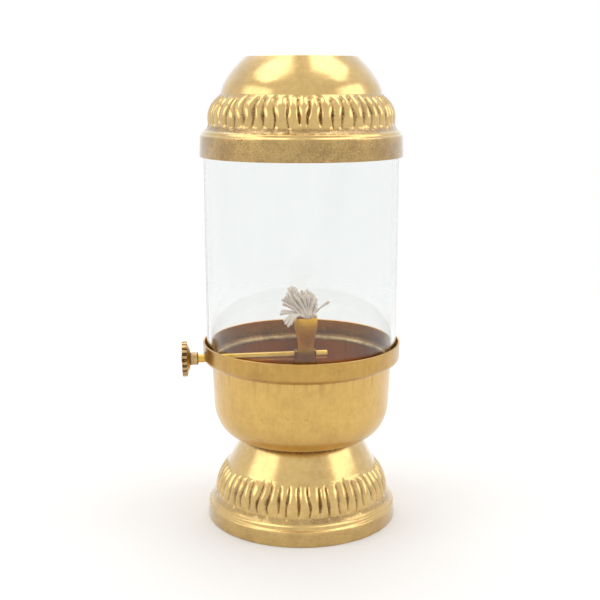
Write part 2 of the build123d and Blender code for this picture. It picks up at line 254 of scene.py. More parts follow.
@dataclass
class Turned:
    """Wall turned about an axis from a closed outline.

    Attributes:
        outline: Closed run of (radius, height) points, in millimetres, anticlockwise.
        columns: Number of columns round the axis.
        sharp_angle: Angle from which an edge stays sharp, in degrees.
    """

    outline: Sequence[Point]
    columns: int
    sharp_angle: float = 40.0

    def angles(self) -> np.ndarray:
        """Return the columns' angles round the axis."""
        return np.linspace(0, FULL_TURN, self.columns, endpoint=False)

    def normals(self) -> np.ndarray:
        """Work out the outline's outward normals.

        Returns:
            One (radius, height) direction to each point.
        """
        points = np.array(self.outline, float)
        run = np.roll(points, -1, axis=0) - np.roll(points, 1, axis=0)
        run /= np.maximum(np.linalg.norm(run, axis=1), 1e-9)[:, None]
        return np.stack([run[:, 1], -run[:, 0]], axis=1)

    def points(self, departure: Optional[np.ndarray] = None) -> np.ndarray:
        """Turn the outline about the axis.

        Args:
            departure: Rows by columns of moves along the normals, in millimetres.

        Returns:
            Rows by columns of points, in millimetres.
        """
        outline = np.array(self.outline, float)
        angle = self.angles()[None, :]
        moved = np.zeros((len(outline), self.columns)) if departure is None else departure
        normal = self.normals()
        radius = outline[:, :1] + normal[:, :1] * moved
        height = outline[:, 1:] + normal[:, 1:] * moved
        return np.stack([radius * np.cos(angle), radius * np.sin(angle), height], axis=2)

    def mesh(
        self,
        name: str,
        departure: Optional[np.ndarray] = None,
        place: Optional[Matrix] = None,
        shares: Optional[dict[str, np.ndarray]] = None,
    ) -> bpy.types.Object:
        """Make the wall's mesh.

        Args:
            name: Name of the piece.
            departure: Rows by columns of moves along the normals, in millimetres.
            place: Frame that the axis stands in, in millimetres.
            shares: Point attributes by name.

        Returns:
            The object.
        """
        points = self.points(departure)
        if place is not None:
            points = placed(points, place)
        return mesh_from_grid(name, points, True, self.sharp_angle, shares)


def placed(points: np.ndarray, place: Matrix) -> np.ndarray:
    """Return points of a frame in the lamp's own coordinates."""
    return points @ np.array(place.to_3x3()).T + np.array(place.translation)


@dataclass(frozen=True)
class Gadroons:
    """Hand-worked ribs round a casting, rounded lobes that narrow grooves part.

    Attributes:
        count: Number of ribs.
        depth: How far a rib's sides fall from its middle, in millimetres.
        roundness: Power of the fall, higher for broader lobes and narrower grooves.
        cut: Depth of the chased line in each groove, in millimetres.
        width: Half width of that line, in millimetres.
        low_end: Share of the zone where the grooves start.
        high_end: Share of the zone where the grooves end.
        pool: Share of the zone where a groove is widest and darkest.
        uneven: Spread of the grooves' ends, as a share of the zone.
        lean: Largest lean of a groove, as a share of the pitch.
        seed: Number that the unevenness is drawn from.
    """

    # Unevenness of a groove's spot, depth, width and upper end, and its bend as a share of the lean.
    OFF_PITCH = 0.12
    DEPTHS = (0.75, 1.05)
    WIDTHS = (0.7, 1.4)
    HIGH_END_SPREAD = 0.35
    BEND_SHARE = 0.5
    # The pool's spread and reach, as shares of the zone, and the weights it is drawn with.
    POOL_SPREAD = 0.12
    POOL_WEIGHTS = (0.35, 1.0)
    POOL_REACH = 0.17
    # Shares of the zone over which a groove starts and ends.
    LOW_EASE = 0.24
    HIGH_EASE = 0.12
    # The line's width, its cut and its darkening away from the pool, the last two with what the pool
    # adds; the darkening is tarnish and painted shade.
    LINE_SHARE = 0.7
    CUT_SHARES = (0.4, 0.6)
    GROOVE_DARK_SHARES = (0.55, 0.45)

    count: int
    depth: float
    roundness: float
    cut: float
    width: float
    low_end: float
    high_end: float
    pool: float
    uneven: float
    lean: float
    seed: int

    def fall(
        self, angle: np.ndarray, share: np.ndarray, radius: np.ndarray
    ) -> tuple[np.ndarray, np.ndarray]:
        """Work out how far the surface lies below the casting's outline.

        Args:
            angle: Angles of the columns.
            share: Place of each row in the ribbed zone, 0 at its lower end.
            radius: Radius of each row, in millimetres.

        Returns:
            Rows by columns of depths, in millimetres, and of how dark the grooves are with tarnish and
            painted shade.
        """
        draw = np.random.RandomState(self.seed)
        pitch = FULL_TURN / self.count
        fall = np.zeros((len(share), len(angle)))
        dark_share = np.zeros_like(fall)
        rows, reach = share[:, None], radius[:, None]
        for groove in range(self.count):
            centre = pitch * (groove + draw.uniform(-self.OFF_PITCH, self.OFF_PITCH))
            depth = self.depth * draw.uniform(*self.DEPTHS)
            width = self.width * draw.uniform(*self.WIDTHS)
            low = self.low_end + self.uneven * draw.uniform(-1, 1)
            high = self.high_end + self.HIGH_END_SPREAD * self.uneven * draw.uniform(-1, 1)
            lean = self.lean * draw.uniform(-1, 1)
            bend = self.BEND_SHARE * self.lean * draw.uniform(-1, 1)
            pool_at = self.pool + draw.uniform(-self.POOL_SPREAD, self.POOL_SPREAD)
            pooled = draw.uniform(*self.POOL_WEIGHTS)
            line = centre + pitch * (lean * (rows - 0.5) + bend * np.sin(FULL_TURN * rows))
            apart = (angle[None, :] - line + math.pi) % FULL_TURN - math.pi
            across = np.abs(apart) * reach
            held = eased((rows - low) / self.LOW_EASE) * eased((high - rows) / self.HIGH_EASE)
            pool = pooled * np.exp(-(((rows - pool_at) / self.POOL_REACH) ** 2))
            near = np.clip(1 - across / (pitch * reach / 2), 0, 1)
            chased = np.exp(-((across / (width * (self.LINE_SHARE + pool))) ** 2))
            cut = self.cut * chased * (self.CUT_SHARES[0] + self.CUT_SHARES[1] * pool)
            fall = np.maximum(fall, held * (depth * near**self.roundness + cut))
            # Tarnish and painted shade along the groove's line, heaviest in the pool.
            groove_dark = self.GROOVE_DARK_SHARES[0] + self.GROOVE_DARK_SHARES[1] * pool
            dark_share = np.maximum(dark_share, held * chased * groove_dark)
        return fall, dark_share


@dataclass
class Board:
    """Places and joins the nodes of one tree."""

    tree: bpy.types.NodeTree

    def add(self, kind: str, **settings: object) -> bpy.types.Node:
        """Add a node.

        Args:
            kind: Type of the node.
            **settings: Properties of the node by name.

        Returns:
            The node.
        """
        node = self.tree.nodes.new(kind)
        for key, value in settings.items():
            setattr(node, key, value)
        return node

    def feed(self, socket: Socket, value: object) -> None:
        """Link a socket to another, or give it a value.

        Args:
            socket: Input of a node.
            value: Output of another node, a number or a colour.
        """
        if isinstance(value, Socket):
            self.tree.links.new(value, socket)
        elif isinstance(value, tuple) and len(value) == 3 and socket.type == "RGBA":
            socket.default_value = (*value, 1.0)
        else:
            socket.default_value = value

    def maths(self, operation: str, *values: object, clamp: bool = False) -> Socket:
        """Add a Math node.

        Args:
            operation: Name of the operation.
            *values: Numbers or sockets that it takes.
            clamp: True where the result stays between 0 and 1.

        Returns:
            Its result.
        """
        node = self.add("ShaderNodeMath", operation=operation, use_clamp=clamp)
        for socket, value in zip(node.inputs, values):
            self.feed(socket, value)
        return node.outputs[0]

    def stretched(self, vector: object, scale: Sequence[float]) -> Socket:
        """Multiply a vector by a scale for each axis.

        Args:
            vector: The vector's socket.
            scale: The three factors.

        Returns:
            The stretched vector.
        """
        node = self.add("ShaderNodeVectorMath", operation="MULTIPLY")
        self.feed(node.inputs[0], vector)
        node.inputs[1].default_value = tuple(scale)
        return node.outputs[0]

    def noise(self, vector: object, scale: object, detail: float = 3.0, rough: float = 0.5) -> Socket:
        """Add a noise.

        Args:
            vector: Where it is read.
            scale: Its fineness, in waves a metre.
            detail: Number of finer layers.
            rough: Weight of the finer layers.

        Returns:
            Its value.
        """
        node = self.add("ShaderNodeTexNoise")
        self.feed(node.inputs["Vector"], vector)
        self.feed(node.inputs["Scale"], scale)
        node.inputs["Detail"].default_value = detail
        node.inputs["Roughness"].default_value = rough
        return node.outputs["Fac"]

    def span(
        self, value: object, low: float, high: float, start: object = 0.0, end: object = 1.0
    ) -> Socket:
        """Map a value smoothly from one span to another and clamp it.

        Args:
            value: The value.
            low: Where the first span starts.
            high: Where it ends.
            start: Where the second span starts.
            end: Where it ends.

        Returns:
            The mapped value.
        """
        node = self.add("ShaderNodeMapRange", interpolation_type="SMOOTHSTEP")
        given = {"Value": value, "From Min": low, "From Max": high, "To Min": start, "To Max": end}
        for name, number in given.items():
            self.feed(node.inputs[name], number)
        return node.outputs["Result"]

    def blend(self, share: object, first: object, second: object) -> Socket:
        """Mix two colours.

        Args:
            share: Share of the second colour.
            first: Colour or socket.
            second: Colour or socket.

        Returns:
            The mixed colour.
        """
        node = self.add("ShaderNodeMix", data_type="RGBA")
        self.feed(node.inputs["Factor"], share)
        self.feed(node.inputs[6], first)
        self.feed(node.inputs[7], second)
        return node.outputs[2]

    def bump(self, shader: bpy.types.Node, height: object) -> None:
        """Feed a shader's normal.

        Args:
            shader: The material's shader.
            height: Height of the surface, in millimetres.
        """
        node = self.add("ShaderNodeBump")
        node.inputs["Distance"].default_value = MM
        node.inputs["Strength"].default_value = 1.0
        self.feed(node.inputs["Height"], height)
        self.feed(shader.inputs["Normal"], node.outputs["Normal"])

    def show(self, share: object, shader: bpy.types.Node, other: bpy.types.Node) -> None:
        """Mix a material's shader with another one and show the result.

        Args:
            share: Share of the other shader.
            shader: The material's shader.
            other: The other shader.
        """
        mixed = self.add("ShaderNodeMixShader")
        for socket, value in zip(mixed.inputs, (share, shader.outputs[0], other.outputs[0])):
            self.feed(socket, value)
        self.feed(self.tree.nodes["Material Output"].inputs["Surface"], mixed.outputs[0])

    def group(self, tree: bpy.types.NodeTree, **values: object) -> bpy.types.Node:
        """Place a node group.

        Args:
            tree: The group.
            **values: Its inputs by name, with underscores read as spaces.

        Returns:
            The group's node.
        """
        node = self.add("ShaderNodeGroup")
        node.node_tree = tree
        for name, value in values.items():
            self.feed(node.inputs[name.replace("_", " ")], value)
        return node


def new_group(
    name: str, inputs: dict[str, str], outputs: dict[str, str]
) -> tuple[Board, bpy.types.Node, bpy.types.Node]:
    """Start a shader node group.

    Args:
        name: Name of the group.
        inputs: Socket names with their kinds.
        outputs: Socket names with their kinds.

    Returns:
        The board, the group's input node and its output node.
    """
    tree = bpy.data.node_groups.new(name, "ShaderNodeTree")
    for direction, sockets in (("INPUT", inputs), ("OUTPUT", outputs)):
        for socket, kind in sockets.items():
            tree.interface.new_socket(name=socket, in_out=direction, socket_type=f"NodeSocket{kind}")
    board = Board(tree)
    return board, board.add("NodeGroupInput"), board.add("NodeGroupOutput")


def new_material(name: str) -> tuple[bpy.types.Material, Board, bpy.types.Node, Socket]:
    """Start a material.

    Args:
        name: Name of the material.

    Returns:
        The material, its board, its shader and the object's coordinates.
    """
    made = bpy.data.materials.new(name)
    made.use_nodes = True
    board = Board(made.node_tree)
    where = board.add("ShaderNodeTexCoord").outputs["Object"]
    return made, board, made.node_tree.nodes["Principled BSDF"], where


class Effects:
    """Surface effects that several finishes share, each a node group that is built once."""

    def __init__(self) -> None:
        """Build the groups."""
        self.pits = self._pits()
        self.marks = self._marks()
        self.tarnish = self._tarnish()

    def _pits(self) -> bpy.types.NodeTree:
        """Build the small pits of a sand casting.

        Returns:
            The group.
        """
        board, given, made = new_group(
            "Casting pits",
            {"Vector": "Vector", "Scale": "Float", "Cover": "Float"},
            {"Mask": "Float", "Height": "Float"},
        )
        where = given.outputs["Vector"]
        fine = board.noise(where, given.outputs["Scale"], detail=2.0, rough=0.6)
        patches = board.span(board.noise(where, 70.0, detail=2.0), 0.38, 0.66)
        level = board.maths("MULTIPLY", given.outputs["Cover"], patches)
        edge = board.maths("SUBTRACT", 0.74, board.maths("MULTIPLY", level, 0.3))
        over = board.maths("SUBTRACT", fine, edge)
        mask = board.maths("MULTIPLY", over, 14.0, clamp=True)
        board.feed(made.inputs["Mask"], mask)
        board.feed(made.inputs["Height"], board.maths("SUBTRACT", 1.0, mask))
        return board.tree

    def _marks(self) -> bpy.types.NodeTree:
        """Build fine tool marks that run along one direction.

        Returns:
            The group.
        """
        board, given, made = new_group(
            "Tool marks",
            {"Vector": "Vector"},
            {"Lines": "Float", "Scratches": "Float"},
        )
        where = given.outputs["Vector"]
        few = board.noise(where, 0.35, detail=2.0, rough=0.6)
        board.feed(made.inputs["Lines"], board.noise(where, 1.0, detail=4.0, rough=0.65))
        board.feed(made.inputs["Scratches"], board.span(few, 0.64, 0.72))
        return board.tree

    def _tarnish(self) -> bpy.types.NodeTree:
        """Build soft blotches of tarnish, heavier where the mesh marks tarnish and painted shade.

        Returns:
            The group.
        """
        board, given, made = new_group(
            "Tarnish",
            {"Vector": "Vector", "Hollow": "Float", "Amount": "Float"},
            {"Mask": "Float", "Mottle": "Float"},
        )
        where = given.outputs["Vector"]
        cloud = board.noise(where, 95.0, detail=5.0, rough=0.62)
        blotch = board.maths("MULTIPLY", board.span(cloud, 0.42, 0.72), given.outputs["Amount"])
        grit = board.noise(where, 2300.0, detail=2.0, rough=0.7)
        grit = board.span(grit, 0.36, 0.62, start=0.4, end=1.5)
        uneven = board.maths("MULTIPLY", board.span(cloud, 0.1, 0.6, start=0.6, end=1.0), grit)
        # The mesh's share of tarnish and painted shade deepens the mask.
        deep = board.maths("MULTIPLY", given.outputs["Hollow"], uneven)
        board.feed(made.inputs["Mask"], board.maths("ADD", blotch, deep, clamp=True))
        fine = board.noise(where, 420.0, detail=6.0, rough=0.68)
        board.feed(made.inputs["Mottle"], board.span(fine, 0.34, 0.68))
        return board.tree


@dataclass(frozen=True)
class Brass:
    """Brass finish.

    Attributes:
        name: Name of the material.
        base: Colour of the clean metal.
        worn: Colour where it is rubbed bright.
        dark: Colour of the tarnish and of the painted shade.
        roughness: Roughness of the clean metal.
        roughness_spread: How much the tool marks change the roughness.
        grain: Direction of the tool marks.
        mark_height: Height of the tool marks, in millimetres.
        pit_scale: Fineness of the casting pits.
        pit_cover: Share of the surface with pits.
        pit_height: Depth of the pits, in millimetres.
        tarnish: Amount of blotched tarnish.
        polish: Share of the colour change that follows the tool marks, the rest being mottled.
        shade_and_tarnish: True where the mesh carries, for each point, a share of tarnish and painted
            shade.
        inner: Colour of the faces that look at the axis, partly browned by smoke and oil, partly
            painted shade and painted reflection.
        dark_low: Heights in millimetres between which the metal turns from dark below to clean above,
            the dark one first.
        runs: Heights in millimetres between which brown marks run down from a joint, the marked
            one first.
        lacquer: Weight of the clear lacquer.
    """

    # Shares of the dark colour low down, in the runs and in the pits.
    DARK_LOW_SHARE = 0.9
    RUN_SHARE = 0.36
    PITTED_SHARE = 0.7
    # Stretch that makes the runs narrow and long.
    RUN_STRETCH = (330.0, 330.0, 14.0)
    # Pits in the open and in the hollows, as shares of their cover.
    PIT_SHARES = (0.3, 1.4)
    # Roughness that the dark colour adds, and the lacquer's own.
    DULLING = 0.3
    LACQUER_ROUGHNESS = 0.16

    name: str
    base: Colour
    worn: Colour
    dark: Colour
    roughness: float
    roughness_spread: float
    grain: Grain
    mark_height: float
    pit_scale: float
    pit_cover: float
    pit_height: float
    tarnish: float
    polish: float = 0.5
    shade_and_tarnish: bool = False
    inner: Optional[Colour] = None
    dark_low: Optional[Heights] = None
    runs: Optional[Heights] = None
    lacquer: float = 0.0

    def material(self, effects: Effects) -> bpy.types.Material:
        """Build the material.

        Args:
            effects: The shared surface effects.

        Returns:
            The material.
        """
        made, board, shader, where = new_material(self.name)
        marks = board.group(effects.marks, Vector=board.stretched(where, self.grain.value))
        deep: object = 0.0
        cover: object = self.pit_cover
        if self.shade_and_tarnish:
            # Share of tarnish and painted shade that the mesh marks for each point.
            deep = board.add("ShaderNodeAttribute", attribute_name="shade_and_tarnish").outputs["Fac"]
            open_share, hollow_share = self.PIT_SHARES
            covers = (open_share * self.pit_cover, hollow_share * self.pit_cover)
            cover = board.span(deep, 0.0, 0.4, start=covers[0], end=covers[1])
        pits = board.group(effects.pits, Vector=where, Scale=self.pit_scale, Cover=cover)
        stain = board.group(effects.tarnish, Vector=where, Hollow=deep, Amount=self.tarnish)
        shade = self._shade(board, where, stain.outputs["Mask"], pits.outputs["Mask"])
        rubbed = board.maths("MULTIPLY", board.span(marks.outputs["Lines"], 0.35, 0.7), self.polish)
        mottled = board.maths("MULTIPLY", stain.outputs["Mottle"], 1 - self.polish)
        bright = board.blend(board.maths("ADD", rubbed, mottled), self.base, self.worn)
        # Faces that look at the axis take the inner colour: partly smoke and oil, partly painted shade
        # and painted reflection.
        if self.inner is not None:
            bright = board.blend(self._inward(board, where), bright, self.inner)
        board.feed(shader.inputs["Base Color"], board.blend(shade, bright, self.dark))
        shader.inputs["Metallic"].default_value = 1.0
        spread = board.maths("MULTIPLY", marks.outputs["Lines"], self.roughness_spread)
        rough = board.maths("ADD", spread, self.roughness - self.roughness_spread / 2)
        dulled = board.maths("MULTIPLY", shade, self.DULLING)
        board.feed(shader.inputs["Roughness"], board.maths("ADD", rough, dulled, clamp=True))
        shader.inputs["Coat Weight"].default_value = self.lacquer
        shader.inputs["Coat Roughness"].default_value = self.LACQUER_ROUGHNESS
        lines = board.maths("MULTIPLY", marks.outputs["Lines"], self.mark_height)
        holes = board.maths("MULTIPLY", pits.outputs["Height"], self.pit_height)
        scratches = board.maths("MULTIPLY", marks.outputs["Scratches"], -self.mark_height)
        board.bump(shader, board.maths("ADD", board.maths("ADD", lines, holes), scratches))
        return made

    def _shade(self, board: Board, where: Socket, stained: Socket, pitted: Socket) -> Socket:
        """Work out how much of the dark colour shows.

        Args:
            board: The material's board.
            where: The object's coordinates.
            stained: Share of the tarnish.
            pitted: Share of the pits.

        Returns:
            The share of the dark colour.
        """
        share = stained
        if self.dark_low is not None:
            dark_low_share = self._between(board, where, self.dark_low, self.DARK_LOW_SHARE)
            share = board.maths("MAXIMUM", share, dark_low_share)
        if self.runs is not None:
            drips = board.noise(board.stretched(where, self.RUN_STRETCH), 1.0, detail=2.0)
            drips = board.span(drips, 0.48, 0.75, end=self.RUN_SHARE)
            marked = board.maths("MULTIPLY", drips, self._between(board, where, self.runs, 1.0))
            share = board.maths("MAXIMUM", share, marked)
        return board.maths("MAXIMUM", share, board.maths("MULTIPLY", pitted, self.PITTED_SHARE))

    def _between(self, board: Board, where: Socket, heights: Heights, most: float) -> Socket:
        """Let a share fall from one height to another.

        Args:
            board: The material's board.
            where: The object's coordinates.
            heights: Height of the whole share and height of none, in millimetres.
            most: The whole share.

        Returns:
            The share.
        """
        apart = board.add("ShaderNodeSeparateXYZ")
        board.feed(apart.inputs[0], where)
        share = board.span(apart.outputs["Z"], min(heights) * MM, max(heights) * MM)
        if heights[0] < heights[1]:
            share = board.maths("SUBTRACT", 1.0, share)
        return board.maths("MULTIPLY", share, most)

    def _inward(self, board: Board, where: Socket) -> Socket:
        """Find the faces that look at the lamp's axis.

        Args:
            board: The material's board.
            where: The object's coordinates.

        Returns:
            1 on those faces and 0 on the others.
        """
        coordinates = next(node for node in board.tree.nodes if node.type == "TEX_COORD")
        away = board.add("ShaderNodeVectorMath", operation="NORMALIZE")
        board.feed(away.inputs[0], board.stretched(where, (1.0, 1.0, 0.0)))
        facing = board.add("ShaderNodeVectorMath", operation="DOT_PRODUCT")
        board.feed(facing.inputs[0], away.outputs[0])
        board.feed(facing.inputs[1], coordinates.outputs["Normal"])
        return board.span(facing.outputs["Value"], 0.05, -0.15)


@dataclass(frozen=True)
class ClearGlass:
    """Clear drawn glass with faint smears.

    Attributes:
        name: Name of the material.
        tint: Colour of the glass.
        smeared: Colour where it is smeared.
        index: Index of refraction.
        wave_height: Height of the glass's waves, in millimetres.
        glare: Level of its reflections, 0.5 for bare glass.
    """

    # Stretches of the smears and of the waves that drawing left, and the smears' roughness.
    SMEAR_STRETCH = (70.0, 70.0, 22.0)
    WAVE_STRETCH = (45.0, 45.0, 6.0)
    ROUGHNESSES = (0.005, 0.05)

    name: str = "Chimney glass"
    tint: Colour = (0.95, 0.965, 0.96)
    smeared: Colour = (0.92, 0.935, 0.93)
    index: float = 1.46
    wave_height: float = 0.02
    glare: float = 0.12

    def material(self) -> bpy.types.Material:
        """Build the material, which lets the lamps' light through.

        Returns:
            The material.
        """
        made, board, shader, where = new_material(self.name)
        smear = board.noise(board.stretched(where, self.SMEAR_STRETCH), 1.0, detail=4.0, rough=0.6)
        wave = board.noise(board.stretched(where, self.WAVE_STRETCH), 1.0, detail=2.0)
        tint = board.blend(board.span(smear, 0.3, 0.8), self.tint, self.smeared)
        board.feed(shader.inputs["Base Color"], tint)
        rough = board.span(smear, 0.55, 0.8, *self.ROUGHNESSES)
        board.feed(shader.inputs["Roughness"], rough)
        shader.inputs["Metallic"].default_value = 0.0
        shader.inputs["Transmission Weight"].default_value = 1.0
        shader.inputs["IOR"].default_value = self.index
        shader.inputs["Specular IOR Level"].default_value = self.glare
        board.bump(shader, board.maths("MULTIPLY", wave, self.wave_height))
        shadow = board.add("ShaderNodeLightPath").outputs["Is Shadow Ray"]
        board.show(shadow, shader, board.add("ShaderNodeBsdfTransparent"))
        return made


@dataclass(frozen=True)
class Cotton:
    """Loosely spun raw cotton.

    Attributes:
        name: Name of the material.
        light: Colour of the fibres.
        shade: Colour of the painted shade between the plies, warmed as painted bounce light, also taken
            by soiled patches.
        soil_share: Share of that colour where the yarn is soiled.
        fuzz_height: Height of the fibres, in millimetres.
    """

    # Roughness of the fibres, weight of their sheen and its own roughness.
    ROUGHNESSES = (0.8, 0.98)
    SHEEN = 0.4
    SHEEN_ROUGHNESS = 0.5

    name: str = "Cotton yarn"
    light: Colour = (1.0, 0.925, 0.815)
    shade: Colour = (0.58, 0.39, 0.27)
    soil_share: float = 0.3
    fuzz_height: float = 0.12

    def material(self) -> bpy.types.Material:
        """Build the material.

        Returns:
            The material.
        """
        made, board, shader, where = new_material(self.name)
        # Painted shade between the plies, from the mesh, with soiled patches in the same colour.
        lay = board.add("ShaderNodeAttribute", attribute_name="ply").outputs["Fac"]
        fuzz = board.noise(where, 2600.0, detail=3.0, rough=0.7)
        dark_share = board.span(board.noise(where, 240.0, detail=3.0), 0.56, 0.76, end=self.soil_share)
        groove = board.maths("MULTIPLY", lay, board.span(fuzz, 0.3, 0.7, start=0.7), clamp=True)
        shade = board.maths("MAXIMUM", groove, dark_share)
        board.feed(shader.inputs["Base Color"], board.blend(shade, self.light, self.shade))
        board.feed(shader.inputs["Roughness"], board.span(fuzz, 0.2, 0.8, *self.ROUGHNESSES))
        shader.inputs["Metallic"].default_value = 0.0
        shader.inputs["Sheen Weight"].default_value = self.SHEEN
        shader.inputs["Sheen Roughness"].default_value = self.SHEEN_ROUGHNESS
        board.bump(shader, board.maths("MULTIPLY", fuzz, self.fuzz_height))
        return made


@dataclass
class Finishes:
    """All finishes of the lamp, each built once."""

    CAST = Brass(
        name="Polished cast brass",
        base=(0.61, 0.40, 0.125), worn=(0.68, 0.47, 0.17), dark=(0.17, 0.085, 0.022),
        roughness=0.19, roughness_spread=0.05, grain=Grain.ROUND_THE_AXIS, mark_height=0.0005,
        pit_scale=1900.0, pit_cover=0.75, pit_height=0.02, tarnish=0.22,
        polish=0.25, shade_and_tarnish=True, lacquer=1.0,
    )
    # Its inner colour is partly smoke and oil, partly painted shade and painted reflection.
    SPUN = Brass(
        name="Satin spun brass",
        base=(0.63, 0.39, 0.10), worn=(0.70, 0.46, 0.14), dark=(0.16, 0.075, 0.022),
        roughness=0.33, roughness_spread=0.1, grain=Grain.ALONG_THE_AXIS, mark_height=0.003,
        pit_scale=1100.0, pit_cover=0.3, pit_height=0.03, tarnish=0.14,
        inner=(0.62, 0.28, 0.03), runs=(78.0, 63.0), lacquer=0.6,
    )
    # Its inner colour is partly smoke and oil, partly painted shade and painted reflection.
    RING = Brass(
        name="Dull ring brass",
        base=(0.50, 0.285, 0.06), worn=(0.57, 0.35, 0.09), dark=(0.16, 0.075, 0.022),
        roughness=0.3, roughness_spread=0.1, grain=Grain.ALONG_THE_AXIS, mark_height=0.003,
        pit_scale=1100.0, pit_cover=0.4, pit_height=0.03, tarnish=0.24,
        shade_and_tarnish=True, inner=(0.92, 0.43, 0.05), lacquer=0.6,
    )
    TURNED = Brass(
        name="Turned brass rod",
        base=(0.70, 0.43, 0.08), worn=(0.80, 0.54, 0.14), dark=(0.18, 0.08, 0.02),
        roughness=0.34, roughness_spread=0.12, grain=Grain.ROUND_THE_SPINDLE, mark_height=0.006,
        pit_scale=1100.0, pit_cover=0.2, pit_height=0.02, tarnish=0.16,
    )
    KNOB = Brass(
        name="Tarnished knob brass",
        base=(0.52, 0.34, 0.14), worn=(0.66, 0.47, 0.23), dark=(0.09, 0.04, 0.012),
        roughness=0.22, roughness_spread=0.12, grain=Grain.ROUND_THE_SPINDLE, mark_height=0.004,
        pit_scale=1300.0, pit_cover=0.6, pit_height=0.02, tarnish=0.35,
        shade_and_tarnish=True,
    )
    AGED = Brass(
        name="Aged sheet brass",
        base=(0.90, 0.47, 0.02), worn=(0.95, 0.56, 0.05), dark=(0.17, 0.045, 0.001),
        roughness=0.46, roughness_spread=0.14, grain=Grain.ALONG_THE_AXIS, mark_height=0.008,
        pit_scale=900.0, pit_cover=0.35, pit_height=0.03, tarnish=0.3,
        # Darker towards the bottom of the holder.
        dark_low=(80.0, 85.5),
    )
    SOLDER = Brass(
        name="Soft solder",
        base=(0.44, 0.31, 0.14), worn=(0.62, 0.48, 0.26), dark=(0.17, 0.09, 0.03),
        roughness=0.42, roughness_spread=0.1, grain=Grain.ALONG_THE_AXIS, mark_height=0.004,
        pit_scale=900.0, pit_cover=0.5, pit_height=0.04, tarnish=0.6,
        polish=0.0,
    )

    effects: Effects = field(default_factory=Effects)
    made: dict[str, bpy.types.Material] = field(default_factory=dict)

    def of(self, finish: object) -> bpy.types.Material:
        """Find a finish's material, which is built the first time.

        Args:
            finish: The finish.

        Returns:
            Its material.
        """
        if finish.name not in self.made:
            build = finish.material
            self.made[finish.name] = build(self.effects) if isinstance(finish, Brass) else build()
        return self.made[finish.name]


def dress(
    piece: bpy.types.Object,
    material: bpy.types.Material,
    body: Body,
    slot: Slot,
    stands_for: Iterable[str] = (),
) -> bpy.types.Object:
    """Give a new piece its material and body, and hide the nodes that it stands for.

    Args:
        piece: The new piece.
        material: Its finish.
        body: Body that it rides on.
        slot: The record's material slot; not used.
        stands_for: Names of the nodes that it replaces.

    Returns:
        The piece.
    """
    piece.data.materials.clear()
    piece.data.materials.append(material)
    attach(piece, body.value)
    if stands_for:
        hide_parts(*stands_for)
    LOG.info("%s rides on %s, %d faces", piece.name, body.value, len(piece.data.polygons))
    return piece


def redress(node: bpy.types.Object, material: bpy.types.Material) -> None:
    """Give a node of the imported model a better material.

    Args:
        node: The node.
        material: Its new material.
    """
    for slot in node.material_slots:
        slot.material = material
    LOG.info("%s keeps its shape", node.name)


def drilled(piece: bpy.types.Object, cutter: bpy.types.Object, sharp_angle: float) -> bpy.types.Object:
    """Cut one mesh out of another and delete the cutter.

    Args:
        piece: The piece to drill.
        cutter: The mesh to take away.
        sharp_angle: Angle from which an edge stays sharp, in degrees.

    Returns:
        The drilled piece.
    """
    cut = piece.modifiers.new("bore", "BOOLEAN")
    cut.operation, cut.solver, cut.object = "DIFFERENCE", "EXACT", cutter
    with bpy.context.temp_override(active_object=piece, object=piece):
        bpy.ops.object.modifier_apply(modifier=cut.name)
    bpy.data.objects.remove(cutter)
    smooth_but_sharp(piece.data, sharp_angle)
    return piece


@dataclass(frozen=True)
class ShadedZone:
    """Stretch of a casting darkened with painted shade and painted reflection.

    Attributes:
        low: Height of its lower end, in millimetres.
        high: Height of its upper end, in millimetres.
        share: Share of the painted shade.
    """

    # Height over which the share fades, in millimetres.
    FADE = 0.6

    low: float
    high: float
    share: float

    def at(self, height: np.ndarray) -> np.ndarray:
        """Return the share at heights, which fades at both ends."""
        rise = np.clip((height - self.low) / self.FADE, 0, 1)
        return self.share * (rise * np.clip((self.high - height) / self.FADE, 0, 1))


@dataclass
class Casting:
    """Hollow casting with a ribbed zone, built from its outer and inner outlines.

    Attributes:
        name: Name of the piece.
        outer: Outer outline from the bottom up.
        inner: Inner outline from the top down.
        rib_start: Height where the ribbed zone starts.
        rib_end: Height where it ends.
        ribs: The gadroons.
        waves: Waviness of the skin.
        dulled: Zones darkened with painted shade and painted reflection.
        columns: Number of columns round the axis.
        row_step: Longest distance between two rows of the outer outline, in millimetres.
        sharp_angle: Angle from which an edge stays sharp, in degrees.
    """

    # Rows between these shares of the ribbed zone can have grooves.
    RIBBED_SHARES = (-0.45, 1.2)

    name: str
    outer: list[Point]
    inner: list[Point]
    rib_start: float
    rib_end: float
    ribs: Gadroons
    waves: Waviness
    dulled: tuple[ShadedZone, ...]
    columns: int = 936
    row_step: float = 1.2
    sharp_angle: float = 32.0

    def build(self) -> bpy.types.Object:
        """Make the casting's mesh, with tarnish and painted shade marked in its grooves and painted
        shade in its darker zones.

        Returns:
            The object.
        """
        outer = filled(self.outer, self.row_step)
        wall = Turned(outer + self.inner, self.columns, self.sharp_angle)
        outline = np.array(wall.outline, float)
        height = outline[:, 1]
        outside = np.arange(len(outline)) < len(outer)
        share = (height - self.rib_start) / (self.rib_end - self.rib_start)
        lowest, highest = self.RIBBED_SHARES
        ribbed = outside & (share > lowest) & (share < highest)
        fall = np.zeros((len(outline), self.columns))
        shade_and_tarnish = np.zeros_like(fall)
        radius = outline[ribbed, 0]
        fall[ribbed], shade_and_tarnish[ribbed] = self.ribs.fall(wall.angles(), share[ribbed], radius)
        # Painted shade and painted reflection in the darker zones.
        for zone in self.dulled:
            shade_and_tarnish = np.maximum(shade_and_tarnish, (zone.at(height) * outside)[:, None])
        steps = np.diff(outline, axis=0, prepend=outline[:1])
        along = np.cumsum(np.linalg.norm(steps, axis=1))[:, None]
        wave = self.waves.at(wall.angles()[None, :], along) - self.waves.height
        departure = np.where(outside[:, None], wave, 0) - fall
        return wall.mesh(self.name, departure, shares={"shade_and_tarnish": shade_and_tarnish})


